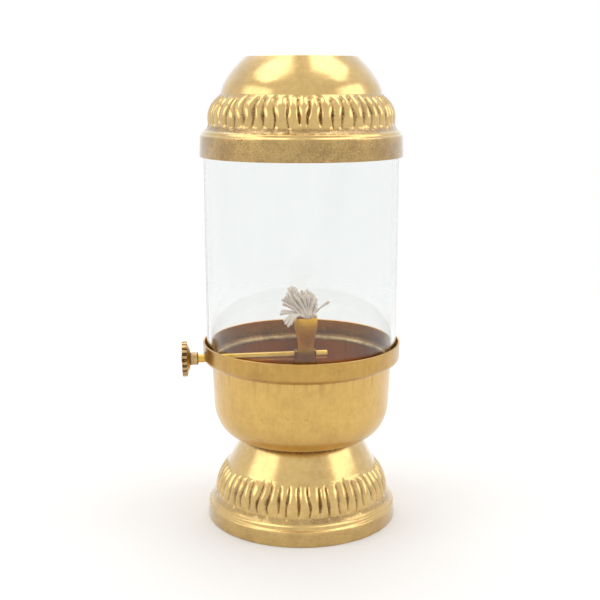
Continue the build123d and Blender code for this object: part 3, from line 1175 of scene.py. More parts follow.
@dataclass
class Foot:
    """Cast foot, dressed with the stud, washer and nut under it. Sizes in millimetres.

    Attributes:
        moulding: Points of the step over the band, inwards from its side and up from its top.
        moulding_rounds: How far the corners of the band and the step are cut back.
    """

    FASTENERS = ("bowl_stud", "stud_washer", "stud_nut")

    band_radius: float = 45.0
    band_height: float = 7.0
    band_draft: float = 0.3
    moulding: tuple[Point, ...] = ((1.2, 0.6), (1.35, 1.9), (2.3, 2.5))
    moulding_rounds: tuple[float, ...] = (0.0, 0.35, 0.45, 0.3, 0.3, 0.0)
    shoulder: float = 0.5
    cove_height: float = 6.0
    cove_bulge: float = -0.45
    rib_radius: float = 41.3
    rib_height: float = 12.5
    rib_bulge: float = 1.4
    dome_radius: float = 35.1
    dome_height: float = 14.4
    dome_bulge: float = 0.2
    neck_radius: float = 27.0
    wall: float = 1.6
    hole_radius: float = 3.3
    waves: Waviness = Waviness(height=0.045, seed=5)
    ribs: Gadroons = Gadroons(
        count=52, depth=1.1, roundness=1.7, cut=0.5, width=0.5, low_end=-0.2, high_end=1.0,
        pool=0.42, uneven=0.09, lean=0.2, seed=11,
    )

    def build(self, finishes: Finishes, nodes: Nodes) -> None:
        """Build the casting and dress the fasteners under it.

        Args:
            finishes: The lamp's finishes.
            nodes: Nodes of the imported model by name.
        """
        top = self.band_height + self.shoulder + self.cove_height
        dome_z = top + self.rib_height
        neck_z = dome_z + self.dome_height
        casting = Casting(
            name="foot_casting",
            outer=self._outer(top, dome_z, neck_z),
            inner=self._inner(top, dome_z, neck_z),
            rib_start=top,
            rib_end=dome_z,
            ribs=self.ribs,
            waves=self.waves,
            # Painted darker zones: painted reflection on the band, painted shade in the cove under the
            # ribs, painted shadow under the bowl at the neck.
            dulled=(
                ShadedZone(low=-0.3, high=self.band_height - 0.1, share=0.16),
                ShadedZone(low=self.band_height + 2.4, high=top - 1.0, share=0.4),
                ShadedZone(low=neck_z - 2.6, high=neck_z + 1.0, share=0.7),
            ),
        )
        dress(casting.build(), finishes.of(Finishes.CAST), Body.STAND, Slot.POLISHED, ["base_foot"])
        for name in self.FASTENERS:
            redress(nodes[name], finishes.of(Finishes.TURNED))

    def _outer(self, top: float, dome_z: float, neck_z: float) -> list[Point]:
        """Draw the outer outline.

        Args:
            top: Height where the ribs start.
            dome_z: Height where they end.
            neck_z: Height of the foot.

        Returns:
            The points from the bottom up.
        """
        side = self.band_radius - self.band_draft
        band = [(self.band_radius - self.wall, 0.0), (self.band_radius, 0.0), (side, self.band_height)]
        band += [(side - inwards, self.band_height + up) for inwards, up in self.moulding]
        outer = softened(band, self.moulding_rounds, steps=3)
        rib_foot, dome_foot = (self.rib_radius, top), (self.dome_radius, dome_z)
        outer += arc_points(outer[-1], rib_foot, self.cove_bulge, steps=8)
        outer += arc_points(rib_foot, dome_foot, self.rib_bulge, steps=30)
        outer += arc_points(dome_foot, (self.neck_radius, neck_z), self.dome_bulge, steps=14)
        return outer

    def _inner(self, top: float, dome_z: float, neck_z: float) -> list[Point]:
        """Draw the inner outline.

        Args:
            top: Height where the ribs start.
            dome_z: Height where they end.
            neck_z: Height of the foot.

        Returns:
            The points from the top down.
        """
        low_z = neck_z - self.wall
        taper = (self.dome_radius - self.neck_radius) / self.dome_height
        inner: list[Point] = [
            (self.hole_radius, neck_z),
            (self.hole_radius, low_z),
            (self.neck_radius + (taper - 1) * self.wall, low_z),
            (self.dome_radius - self.wall, dome_z),
        ]
        bulge = -(self.rib_bulge - self.ribs.depth + self.ribs.cut)
        inner += arc_points(inner[-1], (self.rib_radius - self.wall, top), bulge, steps=8)
        return inner + [(self.band_radius - self.wall, self.band_height - self.wall)]


@dataclass
class Bowl:
    """Spun oil bowl, the ledge with its band and their solder. Sizes in millimetres.

    Attributes:
        overlap: How far the ledge reaches past the bowl's edge before the band's roll starts.
        still_floor: Rows this near the floor stay plain, since the foot holds them.
        still_edge: Rows this near the edge stay plain too.
        bead: Solder under the ledge, as points outwards and upwards from the bowl's edge.
        corner: Hollow corner inside the band, inwards from the band and up from the ledge.
        corner_drop: How far under the top of the roll that corner starts.
        seal: Solder on the ledge's lip, outwards and upwards from the lip's upper edge.
        bore_reach: Where the rod's bore starts and ends, along the rod.
    """

    FLOOR_SHARES = (0.0005, 0.25, 0.5, 0.75, 0.95)
    WALL_SHARES = (0.25, 0.5, 0.75, 1.0)
    CORNER_POINTS = 26
    ROLL_POINTS = 15
    # Share of painted shade in the hollow corner inside the band.
    CORNER_SHADE = 0.85
    # Rows of the solder that keep to their outline.
    BEAD_STILL = [0, 1, 5, 6, 7]
    SEAL_STILL = [0, 8, 9]
    # Length that a row of the seal stands for, how deep it sinks and how much finer its ripples are.
    SEAL_ROW = 1.4
    SEAL_SINK = 0.1
    RIPPLE_FINENESS = 5
    # Radius that stands for the bore's axis.
    BORE_CENTRE = 0.001

    radius: float = 41.5
    flare: float = 0.8
    corner_width: float = 11.4
    corner_height: float = 16.7
    floor_z: float = 40.4
    ledge_z: float = 75.4
    ledge_wall: float = 0.8
    wall: float = 0.9
    lip_radius: float = 41.1
    band_outer: float = 46.3
    band_inner: float = 45.5
    band_top: float = 85.15
    band_roll: float = 2.7
    band_rise: float = 0.55
    rim_height: float = 1.0
    rim_round: float = 0.25
    overlap: float = 0.1
    still_floor: float = 2.5
    still_edge: float = 0.5
    bore_radius: float = 2.2
    bore_reach: Heights = (-70.0, -30.0)
    waves: Waviness = Waviness(height=0.06, seed=23, count=18)
    bead_waves: Waviness = Waviness(height=0.12, seed=31, count=20)
    seal_waves: Waviness = Waviness(height=0.15, seed=47, count=26)
    seal_ripples: Waviness = Waviness(height=0.12, seed=53, count=20)
    bead: tuple[Point, ...] = (
        (-0.05, 0.0), (-0.05, -1.1), (0.12, -0.66), (0.4, -0.275),
        (0.9, 0.12), (1.5, 0.57), (1.2, 0.57), (0.15, 0.02),
    )
    corner: tuple[Point, ...] = ((0.12, 1.25), (0.45, 0.6), (0.9, 0.05), (1.1, 0.0))
    corner_drop: float = 0.4
    seal: tuple[Point, ...] = (
        (1.25, 0.0), (1.2, 0.8), (0.7, 1.35), (0.15, 1.35), (-0.25, 0.8),
        (-0.45, 0.0), (-0.4, -0.65), (-0.3, -0.95), (0.0, -0.9), (0.0, -0.7),
    )

    def build(self, finishes: Finishes) -> None:
        """Build the bowl, the ledge with its band and the solder under and over the ledge.

        Args:
            finishes: The lamp's finishes.
        """
        self._shell(finishes)
        self._bead(finishes)
        self._seal(finishes)
        self._band(finishes)

    def skin(self, inset: float) -> list[Point]:
        """Draw one skin of the bowl.

        Args:
            inset: How far it lies inside the outer one.

        Returns:
            The points from the axis out and up to the edge.
        """
        flat = self.radius - self.corner_width
        belly_z = self.floor_z + self.corner_height
        run: list[Point] = [(flat * share, self.floor_z + inset) for share in self.FLOOR_SHARES]
        for turn in np.linspace(-math.pi / 2, 0, self.CORNER_POINTS):
            across = (self.corner_width - inset) * math.cos(turn)
            run.append((flat + across, belly_z + (self.corner_height - inset) * math.sin(turn)))
        for share in self.WALL_SHARES:
            height = belly_z + share * (self.ledge_z - belly_z)
            run.append((self.radius - inset + share * self.flare, height))
        return run

    def _shell(self, finishes: Finishes) -> None:
        """Build the bowl, wavy outside where nothing sits on it.

        Args:
            finishes: The lamp's finishes.
        """
        outer = self.skin(0.0)
        wall = Turned(outer + self.skin(self.wall)[::-1], columns=256, sharp_angle=30.0)
        height = np.array(wall.outline, float)[:, 1:]
        outside = np.arange(len(height))[:, None] < len(outer)
        clear = np.abs(height - self.floor_z) > self.still_floor
        free = outside & clear & (height < self.ledge_z - self.still_edge)
        wave = self.waves.at(wall.angles()[None, :], height) - self.waves.height
        shell = wall.mesh("bowl_shell", np.where(free, wave, 0.0))
        dress(shell, finishes.of(Finishes.SPUN), Body.STAND, Slot.SATIN, ["oil_bowl"])

    def _bead(self, finishes: Finishes) -> None:
        """Run the bead of solder under the ledge, uneven on its outer side.

        Args:
            finishes: The lamp's finishes.
        """
        edge = self.radius + self.flare
        outline = [(edge + out, self.ledge_z + up) for out, up in self.bead]
        bead = Turned(outline, columns=256, sharp_angle=60.0)
        rows = np.arange(len(outline))[:, None] * 1.0
        uneven = self.bead_waves.at(bead.angles()[None, :], rows) - self.bead_waves.height
        uneven[self.BEAD_STILL] = 0.0
        dress(bead.mesh("ledge_bead", uneven), finishes.of(Finishes.SPUN), Body.STAND, Slot.SATIN)

    def _band(self, finishes: Finishes) -> None:
        """Build the ledge with its band, rolled under at the foot and drilled for the rod.

        Args:
            finishes: The lamp's finishes.
        """
        low, top, rim = self.ledge_z, self.ledge_z + self.ledge_wall, self.band_top
        roll_z = low + self.band_rise + self.band_roll
        start = self.band_outer - self.band_roll
        outline: list[Point] = [(self.lip_radius, low), (self.radius + self.flare + self.overlap, low)]
        for turn in np.linspace(-math.pi / 2, 0, self.ROLL_POINTS):
            rise = self.band_roll * math.sin(turn)
            outline.append((start + self.band_roll * math.cos(turn), roll_z + rise))
        rim_foot = rim - self.rim_height
        edges = [(self.band_outer, rim_foot), (self.band_outer, rim)]
        edges += [(self.band_inner, rim), (self.band_inner, rim_foot)]
        outline += softened(edges, (0, self.rim_round, self.rim_round, 0), steps=4)
        outline.append((self.band_inner, roll_z - self.corner_drop))
        outline += [(self.band_inner - inwards, top + up) for inwards, up in self.corner]
        outline.append((self.lip_radius, top))
        wall = Turned(outline, columns=288, sharp_angle=35.0)
        # Painted shade in the hollow corner inside the band.
        dark_share = np.zeros((len(outline), wall.columns))
        dark_share[-2 - len(self.corner):-1] = self.CORNER_SHADE
        made = wall.mesh("gallery_band", shares={"shade_and_tarnish": dark_share})
        band = drilled(made, self._bore("band_bore"), wall.sharp_angle)
        dress(band, finishes.of(Finishes.RING), Body.STAND, Slot.SATIN, ["gallery_ring"])

    def _seal(self, finishes: Finishes) -> None:
        """Run the uneven line of soft solder up the inner edge of the ledge.

        Args:
            finishes: The lamp's finishes.
        """
        top = self.ledge_z + self.ledge_wall
        outline = [(self.lip_radius + out, top + up) for out, up in self.seal]
        run = Turned(outline, columns=360, sharp_angle=70.0)
        angle = run.angles()[None, :]
        along = np.arange(len(outline))[:, None] * self.SEAL_ROW
        ripples = self.seal_ripples.at(self.RIPPLE_FINENESS * angle, along)
        uneven = self.seal_waves.at(angle, along) + ripples - self.SEAL_SINK
        uneven[self.SEAL_STILL] = 0.0
        seal = drilled(run.mesh("ledge_seal", uneven), self._bore("seal_bore"), run.sharp_angle)
        dress(seal, finishes.of(Finishes.SOLDER), Body.STAND, Slot.SATIN)

    def _bore(self, name: str) -> bpy.types.Object:
        """Make the mesh that drills the band and the solder, on the spindle's line.

        Args:
            name: Name of the mesh.

        Returns:
            The object.
        """
        far, near = self.bore_reach
        corners = [(self.BORE_CENTRE, far), (self.bore_radius, far)]
        corners += [(self.bore_radius, near), (self.BORE_CENTRE, near)]
        return Turned(corners, columns=48).mesh(name, place=Adjuster().place())


@dataclass
class Crown:
    """Cast crown that caps the glass. Sizes in millimetres.

    Attributes:
        moulding: Points of the step over the skirt, inwards from its side and up from the shelf.
        moulding_rounds: How far the corners of the skirt and the step are cut back.
    """

    skirt_z: float = 171.3
    shelf_z: float = 181.2
    skirt_inner: float = 45.2
    skirt_outer: float = 46.4
    skirt_draft: float = 0.4
    moulding: tuple[Point, ...] = ((0.0, -0.2), (0.9, 0.5), (1.05, 1.4), (1.9, 1.9))
    moulding_rounds: tuple[float, ...] = (0.0, 0.3, 0.4, 0.3, 0.3, 0.0)
    cove_bulge: float = -0.5
    rib_radius: float = 42.45
    rib_start_z: float = 186.2
    rib_end_z: float = 198.3
    rib_bulge: float = 1.9
    dome_radius: float = 37.6
    dome_step: float = 0.9
    step_lean: float = 0.2
    step_rise: float = 0.7
    haunch_radius: float = 33.7
    haunch_z: float = 206.0
    haunch_bulge: float = 0.33
    slope_bulge: float = 0.38
    top_radius: float = 25.3
    top_z: float = 215.6
    top_round: float = 0.4
    vent_radius: float = 22.0
    wall: float = 1.5
    waves: Waviness = Waviness(height=0.05, seed=17)
    ribs: Gadroons = Gadroons(
        count=52, depth=1.15, roundness=1.8, cut=0.5, width=0.46, low_end=-0.18, high_end=1.04,
        pool=0.4, uneven=0.1, lean=0.26, seed=7,
    )

    def build(self, finishes: Finishes) -> None:
        """Build the casting.

        Args:
            finishes: The lamp's finishes.
        """
        casting = Casting(
            name="crown_casting",
            outer=self._outer(),
            inner=self._inner(),
            rib_start=self.rib_start_z,
            rib_end=self.rib_end_z,
            ribs=self.ribs,
            waves=self.waves,
            # Painted darker zones: painted reflection on the skirt, painted shade in the cove under the
            # ribs and in the step above them.
            dulled=(
                ShadedZone(low=self.skirt_z - 0.3, high=self.shelf_z - 0.1, share=0.42),
                ShadedZone(low=self.shelf_z + 1.8, high=self.rib_start_z - 0.6, share=0.5),
                ShadedZone(low=self.rib_end_z - 0.3, high=self.rib_end_z + 1.0, share=0.35),
            ),
        )
        dress(casting.build(), finishes.of(Finishes.CAST), Body.CROWN, Slot.POLISHED, ["crown"])

    def _outer(self) -> list[Point]:
        """Draw the outer outline.

        Returns:
            The points from the skirt up and in to the vent.
        """
        side = self.skirt_outer - self.skirt_draft
        skirt = [(self.skirt_inner, self.skirt_z), (self.skirt_outer, self.skirt_z)]
        skirt += [(side - inwards, self.shelf_z + up) for inwards, up in self.moulding]
        outer = softened(skirt, self.moulding_rounds, steps=3)
        rib_foot, rib_head = (self.rib_radius, self.rib_start_z), (self.dome_radius, self.rib_end_z)
        outer += arc_points(outer[-1], rib_foot, self.cove_bulge, steps=8)
        outer += arc_points(rib_foot, rib_head, self.rib_bulge, steps=30)
        step = (self.dome_radius - self.dome_step, self.rib_end_z + self.dome_step)
        over_step = (step[0] - self.step_lean, step[1] + self.step_rise)
        outer += softened([outer[-1], step, over_step], (0, 0.25, 0), steps=3)[1:]
        haunch = (self.haunch_radius, self.haunch_z)
        dome_end = (self.top_radius + self.top_round, self.top_z - self.top_round)
        outer += arc_points(outer[-1], haunch, self.haunch_bulge, steps=8)
        outer += arc_points(haunch, dome_end, self.slope_bulge, steps=12)
        lip = [dome_end, (self.top_radius, self.top_z), (self.vent_radius, self.top_z)]
        lip.append((self.vent_radius, self.top_z - self.wall))
        return outer + softened(lip, (0, 0.3, 0.35, 0), steps=4)[1:]

    def _inner(self) -> list[Point]:
        """Draw the inner outline.

        Returns:
            The points from the vent down to the shelf on the glass and the skirt.
        """
        haunch = (self.haunch_radius - self.wall, self.haunch_z - self.wall / 2)
        shoulder = (self.dome_radius - self.dome_step - self.wall, self.rib_end_z)
        low = (self.rib_radius - self.wall, self.rib_start_z)
        inner: list[Point] = [(self.top_radius - self.wall, self.top_z - self.wall)]
        inner += arc_points(inner[-1], haunch, -self.slope_bulge, steps=6)
        inner += arc_points(haunch, shoulder, -self.haunch_bulge, steps=6)
        inner += arc_points(shoulder, low, -(self.rib_bulge - self.ribs.depth + self.ribs.cut), steps=8)
        return inner + [(low[0], self.shelf_z), (self.skirt_inner, self.shelf_z)]


@dataclass
class Adjuster:
    """Spindle with its knob, collar and wick wheel. Sizes in millimetres."""

    # Radius that stands for the rod's axis.
    CENTRE_RADIUS = 0.002
    COLUMNS_TO_A_NOTCH = 14
    # Depth of the crease at a notch and its reach each way, in millimetres.
    CREASE = (0.12, 1.5)
    # How fast the painted shade in a notch fades towards its edges.
    NOTCH_SHADE_POWER = 2.5
    # Share of painted shade at the collar's ends, then its width and the collar's rows, in millimetres.
    END_SHADE = 0.9
    END_SHADE_WIDTH = 0.7
    COLLAR_STEP = 0.3

    centre: tuple[float, float, float] = (1.5, -2.0, 78.3)
    slope: float = 1.0
    knob_reach: float = 58.1
    free_reach: float = 10.6
    radius: float = 1.9
    nose_radius: float = 1.5
    head_radius: float = 2.3
    head_flat_share: float = 0.6
    head_thickness: float = 0.5
    head_edge: float = 0.3
    knob_radius: float = 8.25
    rim_width: float = 2.4
    shoulder_width: float = 1.3
    shoulder_radius: float = 7.3
    shoulder_top: float = 4.4
    notch_count: int = 18
    notch_radius: float = 0.75
    hub_radius: float = 2.95
    hub_length: float = 3.7
    play: float = 0.01

    def place(self) -> Matrix:
        """Return the frame whose +Z runs along the rod away from the knob."""
        tilt = Matrix.Rotation(math.radians(-self.slope), 4, "Y")
        return Matrix.Translation(self.centre) @ tilt @ Matrix.Rotation(math.radians(90), 4, "Y")

    def stations(self) -> tuple[float, float, float, float]:
        """Work out the places along the rod.

        Returns:
            The rod's end, the knob's outer face, the end of its rim and the start of the collar.
        """
        head = -self.knob_reach
        face = head + self.head_thickness
        rim = face + self.rim_width
        return head, face, rim, rim + self.shoulder_width

    def build(self, finishes: Finishes, nodes: Nodes) -> None:
        """Build the rod, the knob and its collar, and dress the wheel.

        Args:
            finishes: The lamp's finishes.
            nodes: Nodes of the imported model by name.
        """
        self._rod(finishes)
        self._knob(finishes)
        self._collar(finishes)
        redress(nodes["wick_wheel"], finishes.of(Finishes.TURNED))

    def _rod(self, finishes: Finishes) -> None:
        """Turn the rod with its riveted head.

        Args:
            finishes: The lamp's finishes.
        """
        head, face, _, hub = self.stations()
        rod = softened(
            [
                (self.CENTRE_RADIUS, head), (self.head_radius * self.head_flat_share, head),
                (self.head_radius, head + self.head_edge), (self.head_radius, face),
                (self.nose_radius, face), (self.nose_radius, hub), (self.radius, hub),
                (self.radius, self.free_reach), (self.CENTRE_RADIUS, self.free_reach),
            ],
            (0, 0.3, 0.15, 0, 0, 0, 0, 0.3, 0), steps=3,
        )
        made = Turned(rod, columns=64).mesh("spindle_rod", place=self.place())
        dress(made, finishes.of(Finishes.TURNED), Body.ADJUSTER, Slot.POLISHED, ["spindle"])

    def _knob(self, finishes: Finishes) -> None:
        """Turn the knob's disc and file the notches into its rim.

        Args:
            finishes: The lamp's finishes.
        """
        _, face, rim, hub = self.stations()
        bore = self.nose_radius + self.play
        disc = softened(
            [
                (bore, face), (self.knob_radius, face), (self.knob_radius, rim),
                (self.shoulder_radius, rim), (self.shoulder_top, hub), (bore, hub),
            ],
            (0, 0.35, 0.35, 0.2, 0.3, 0), steps=4,
        )
        wheel = Turned(disc, self.notch_count * self.COLUMNS_TO_A_NOTCH, sharp_angle=35.0)
        past = np.array(disc)[:, :1] - self.shoulder_radius
        rim_share = np.clip(past / (self.knob_radius - self.shoulder_radius), 0, 1)
        pitch = FULL_TURN / self.notch_count
        apart = (wheel.angles()[None, :] + pitch / 2) % pitch - pitch / 2
        across = np.abs(apart) * self.knob_radius
        depth, reach = self.CREASE
        crease = depth * np.clip(reach - across, 0, 1) ** 2
        notch = np.sqrt(np.clip(self.notch_radius**2 - across**2, 0, None)) + crease
        points = wheel.points()
        points[:, :, :2] *= (1 - rim_share * notch / self.knob_radius)[:, :, None]
        # Painted shade in the notches.
        dark_share = rim_share * np.clip(notch / self.notch_radius, 0, 1) ** self.NOTCH_SHADE_POWER
        points = placed(points, self.place())
        knob = mesh_from_grid("knob_disc", points, True, wheel.sharp_angle, {"shade_and_tarnish": dark_share})
        dress(knob, finishes.of(Finishes.KNOB), Body.ADJUSTER, Slot.POLISHED, ["knob_wheel"])

    def _collar(self, finishes: Finishes) -> None:
        """Turn the collar between the knob and the rod, with painted shade at both ends.

        Args:
            finishes: The lamp's finishes.
        """
        start = self.stations()[-1]
        end = start + self.hub_length
        bore = self.radius + self.play
        collar = softened(
            [(bore, start), (self.hub_radius, start), (self.hub_radius, end), (bore, end)],
            (0, 0.2, 0.45, 0), steps=4,
        )
        turned = Turned(filled(collar + collar[:1], self.COLLAR_STEP)[:-1], columns=64)
        along = np.array(turned.outline)[:, 1:]
        from_end = np.minimum(along - start, end - along)
        # Painted shade at both ends, where the collar meets the knob and steps down to the rod.
        end_shade = self.END_SHADE * np.clip(1 - from_end / self.END_SHADE_WIDTH, 0, 1)
        shares = {"shade_and_tarnish": end_shade * np.ones((1, turned.columns))}
        made = turned.mesh("knob_collar", place=self.place(), shares=shares)
        dress(made, finishes.of(Finishes.KNOB), Body.ADJUSTER, Slot.POLISHED, ["knob_hub"])


@dataclass(frozen=True)
class Strand:
    """One yarn of the tuft. Places in millimetres from the mouth's middle.

    Attributes:
        root: Where it leaves the mouth, to the right and to the back.
        rise: How high it rises before it bends.
        tip: Where it ends.
        thickness: Its thickness.
    """

    root: tuple[float, float]
    rise: float
    tip: tuple[float, float, float]
    thickness: float = 1.38


@dataclass(frozen=True)
class Yarn:
    """Three-ply yarn along a middle line.

    Attributes:
        line: Points of the middle line, in millimetres.
        thickness: Diameter of the yarn, in millimetres.
        seed: Number that its unevenness is drawn from.
        knotted: True where the tip swells into a small knot.
    """

    PLIES = 3
    PLY_PITCH = 4.2
    SIDES = 15
    # Radius between the plies, as a share, and what a ply adds to it.
    GIRTHS = (0.64, 0.42)
    # How fast the shade between the plies fades.
    SHADE_POWER = 1.5
    # Height of the swelling, its number of half waves and the range of the phases.
    SWELL = 0.1
    SWELL_COUNT = 5
    PHASES = (0, 6)
    # How much the tip tapers, and from where.
    TAPER = (0.4, 0.97)
    # How much it frays, from where and over what share.
    FRAY = (0.12, 0.8, 0.15)
    # How much a knot swells, its middle and its reach.
    KNOT = (1.1, 0.93, 0.05)
    # Direction that the section is laid out from.
    UP = (0.0, 1.0, 0.15)

    line: np.ndarray
    thickness: float
    seed: int
    knotted: bool

    def _girth(self, share: np.ndarray, phase: float) -> np.ndarray:
        """Work out how thick the yarn is along its length.

        Args:
            share: Places along the yarn, 1 at its tip.
            phase: Phase of its swelling.

        Returns:
            Factors on its thickness.
        """
        swell = 1 + self.SWELL * np.sin(self.SWELL_COUNT * share * math.pi + phase)
        cut, taper_at = self.TAPER
        end = 1 - cut * np.clip((share - taper_at) / (1 - taper_at), 0, 1) ** 2
        if self.knotted:
            most, middle, reach = self.KNOT
            return swell * end * (1 + most * np.exp(-(((share - middle) / reach) ** 2)))
        most, start, reach = self.FRAY
        return swell * end * (1 + most * np.clip((share - start) / reach, 0, 1))

    def grid(self) -> tuple[np.ndarray, np.ndarray]:
        """Sweep the yarn along its middle line.

        Returns:
            The grid of points and the share of painted shade between the plies at each point.
        """
        draw = np.random.RandomState(self.seed)
        run = np.gradient(self.line, axis=0)
        run /= np.linalg.norm(run, axis=1)[:, None]
        side = np.cross(run, self.UP)
        side /= np.linalg.norm(side, axis=1)[:, None]
        across = np.cross(run, side)
        steps = np.linalg.norm(np.diff(self.line, axis=0), axis=1)
        length = np.concatenate([[0], np.cumsum(steps)])[:, None]
        angle = np.linspace(0, FULL_TURN, self.SIDES, endpoint=False)[None, :]
        lay = FULL_TURN * length / self.PLY_PITCH + draw.uniform(*self.PHASES)
        lobe = np.abs(np.cos(self.PLIES / 2 * (angle - lay)))
        girth = self._girth(length / length[-1], draw.uniform(*self.PHASES))
        between, ply = self.GIRTHS
        radius = (self.thickness / 2 * (between + ply * lobe) * girth)[:, :, None]
        round_it = np.cos(angle)[:, :, None] * side[:, None, :]
        round_it = round_it + np.sin(angle)[:, :, None] * across[:, None, :]
        return self.line[:, None, :] + radius * round_it, (1 - lobe) ** self.SHADE_POWER


@dataclass
class Wick:
    """Cotton wick with its tuft. Sizes in millimetres.

    Attributes:
        mouth: Middle of the holder's mouth.
        flat: How far the core reaches towards the wheel behind it.
        core_twist: Turn of the core's yarns, in radians a millimetre.
        strands: The tuft's yarns, placed one by one.
    """

    KNOTTED_BELOW = 1.2
    TUFT_SEED = 100
    CORE_SEED = 300
    CORE_POINTS = 60
    # Handle near the root, as shares of the way out and of the rise.
    ROOT_HANDLE = (0.08, 0.55)
    # Handle near the tip, as shares of the way out, of the tip's height and of the reach.
    TIP_HANDLE = (0.58, 0.55, 0.16)
    # Height under which a tip hangs, and how much its arch rises for each millimetre under it.
    HANGING = (4.0, 0.25)

    mouth: tuple[float, float, float] = (1.5, -7.2, 97.7)
    foot_z: float = 43.3
    core_top_z: float = 97.0
    core_radius: float = 2.6
    core_inset: float = 0.85
    core_thickness: float = 1.6
    core_ring_count: int = 7
    core_twist: float = 0.02
    flat: float = 1.2
    root_depth: float = 1.6
    strands: tuple[Strand, ...] = (
        Strand((-0.9, 0.6), 4.5, (-8.3, 1.6, 13.7)),
        Strand((-0.3, -0.2), 5.0, (-6.9, 0.2, 14.6)),
        Strand((0.3, -0.8), 5.0, (-5.9, -1.2, 14.3)),
        Strand((0.0, 1.4), 5.0, (-5.0, 2.4, 13.6)),
        Strand((-0.6, -1.4), 4.4, (-8.6, -2.2, 12.0)),
        Strand((-1.2, -0.8), 4.0, (-9.6, -1.8, 10.6)),
        Strand((-1.3, 0.3), 3.6, (-11.1, 0.4, 8.5)),
        Strand((-0.8, -1.9), 3.4, (-10.6, -2.8, 7.4)),
        Strand((-1.4, 1.3), 3.2, (-10.9, 1.8, 6.0)),
        Strand((-0.2, -2.1), 4.0, (-7.2, -3.6, 9.2)),
        Strand((0.6, -2.0), 4.6, (-4.4, -4.2, 10.2)),
        Strand((1.0, -1.2), 5.0, (-3.2, -2.4, 11.6)),
        Strand((1.2, 0.2), 5.4, (-2.0, 0.2, 12.7)),
        Strand((1.3, -0.6), 5.6, (-0.6, -1.4, 12.4)),
        Strand((1.7, 0.8), 5.6, (0.7, 1.4, 12.8)),
        Strand((2.0, -0.4), 5.6, (2.0, -0.8, 12.1)),
        Strand((2.4, 0.4), 5.4, (3.1, 0.6, 11.0)),
        Strand((2.2, -1.2), 5.0, (3.3, -2.4, 9.6)),
        Strand((2.9, -0.5), 4.8, (4.3, -1.0, 9.3)),
        Strand((3.1, 0.5), 4.2, (4.6, 1.2, 7.8)),
        Strand((2.8, -1.4), 3.6, (4.5, -2.6, 5.6)),
        Strand((2.0, 1.9), 4.6, (1.6, 3.8, 10.4)),
        Strand((0.6, 2.2), 4.4, (-2.6, 4.6, 10.6)),
        Strand((-0.9, 2.0), 3.8, (-6.4, 4.2, 9.6)),
        Strand((-0.5, 0.9), 5.2, (-7.6, 1.0, 13.6)),
        Strand((-0.9, -0.9), 4.6, (-8.9, -0.6, 11.8)),
        Strand((-1.1, -1.3), 3.8, (-10.2, -1.0, 9.6)),
        Strand((0.2, -1.8), 4.6, (-5.8, -3.0, 11.6)),
        Strand((0.9, -1.7), 5.0, (-1.6, -3.6, 10.8)),
        Strand((1.5, -1.6), 5.2, (0.8, -3.4, 11.0)),
        Strand((2.3, 0.9), 5.4, (3.9, 1.4, 10.6)),
        Strand((2.7, -0.2), 5.0, (4.9, -0.2, 8.8)),
        Strand((3.1, -0.8), 4.2, (5.0, -1.6, 6.8)),
        Strand((3.2, -0.2), 3.0, (4.8, -0.4, 4.4)),
        Strand((1.9, -1.9), 4.2, (2.6, -3.8, 8.2)),
        Strand((3.0, 0.0), 4.4, (10.9, -0.4, 7.2), 0.95),
        Strand((-1.6, -0.3), 2.6, (-12.3, -1.2, 1.8)),
        Strand((-1.5, 0.6), 2.9, (-11.8, 0.0, 2.8)),
        Strand((-1.3, -1.0), 2.6, (-10.5, -4.2, -1.0)),
        Strand((-1.0, -1.5), 2.7, (-9.8, -4.6, -2.3)),
        Strand((-0.7, -1.8), 2.8, (-8.7, -5.0, -3.6)),
        Strand((-0.3, -2.3), 2.6, (-7.6, -5.2, -2.6)),
        Strand((2.6, -1.9), 1.6, (4.7, -3.0, 0.6)),
        Strand((0.8, -2.5), 1.8, (1.6, -4.4, 1.4)),
    )

    def line(self, strand: Strand, steps: int = 26) -> np.ndarray:
        """Draw a strand's middle line, rising from the mouth and arching over to its tip.

        Args:
            strand: The strand.
            steps: Number of points.

        Returns:
            The points, from the mouth's middle.
        """
        root, tip = np.array(strand.root), np.array(strand.tip)
        out = tip[:2] - root
        reach = max(np.linalg.norm(out), 1e-6)
        low = np.array((*strand.root, -self.root_depth))
        way, lift = self.ROOT_HANDLE
        first = np.array((*(root + way * out), lift * strand.rise))
        hanging_z, added = self.HANGING
        rise = strand.rise + added * max(0.0, hanging_z - tip[2])
        way, lift, arch = self.TIP_HANDLE
        second = np.array((*(root + way * out), max(rise, lift * tip[2] + arch * reach)))
        share = np.linspace(0, 1, steps)[:, None]
        rest = 1 - share
        start = rest**3 * low + 3 * share * rest**2 * first
        return start + 3 * share**2 * rest * second + share**3 * tip

    def core_lines(self) -> list[np.ndarray]:
        """Draw the middle lines of the yarns in the holder, clear of the wheel behind them.

        Returns:
            The lines of a ring of yarns and of the one in its middle.
        """
        lines = []
        height = np.linspace(self.foot_z, self.core_top_z, self.CORE_POINTS)
        for number in range(self.core_ring_count + 1):
            middle = number == self.core_ring_count
            radius = 0.0 if middle else self.core_radius - self.core_inset
            start = FULL_TURN * number / self.core_ring_count
            turn = start + self.core_twist * (height - self.foot_z)
            back = np.minimum(radius * np.sin(turn), self.flat - self.core_inset)
            lines.append(np.stack([radius * np.cos(turn), back, height - self.mouth[2]], axis=1))
        return lines

    def build(self, finishes: Finishes) -> None:
        """Build the tuft and the core, which stand for the node of the wick.

        Args:
            finishes: The lamp's finishes.
        """
        cotton = finishes.of(Cotton())
        tuft = []
        for number, strand in enumerate(self.strands):
            knotted = strand.thickness < self.KNOTTED_BELOW
            seed = self.TUFT_SEED + number
            tuft.append(Yarn(self.line(strand), strand.thickness, seed, knotted))
        dress(self._bundle("wick_tuft", tuft), cotton, Body.WICK, Slot.COTTON, ["wick"])
        core = []
        for number, line in enumerate(self.core_lines()):
            core.append(Yarn(line, self.core_thickness, self.CORE_SEED + number, False))
        dress(self._bundle("wick_core", core), cotton, Body.WICK, Slot.COTTON)

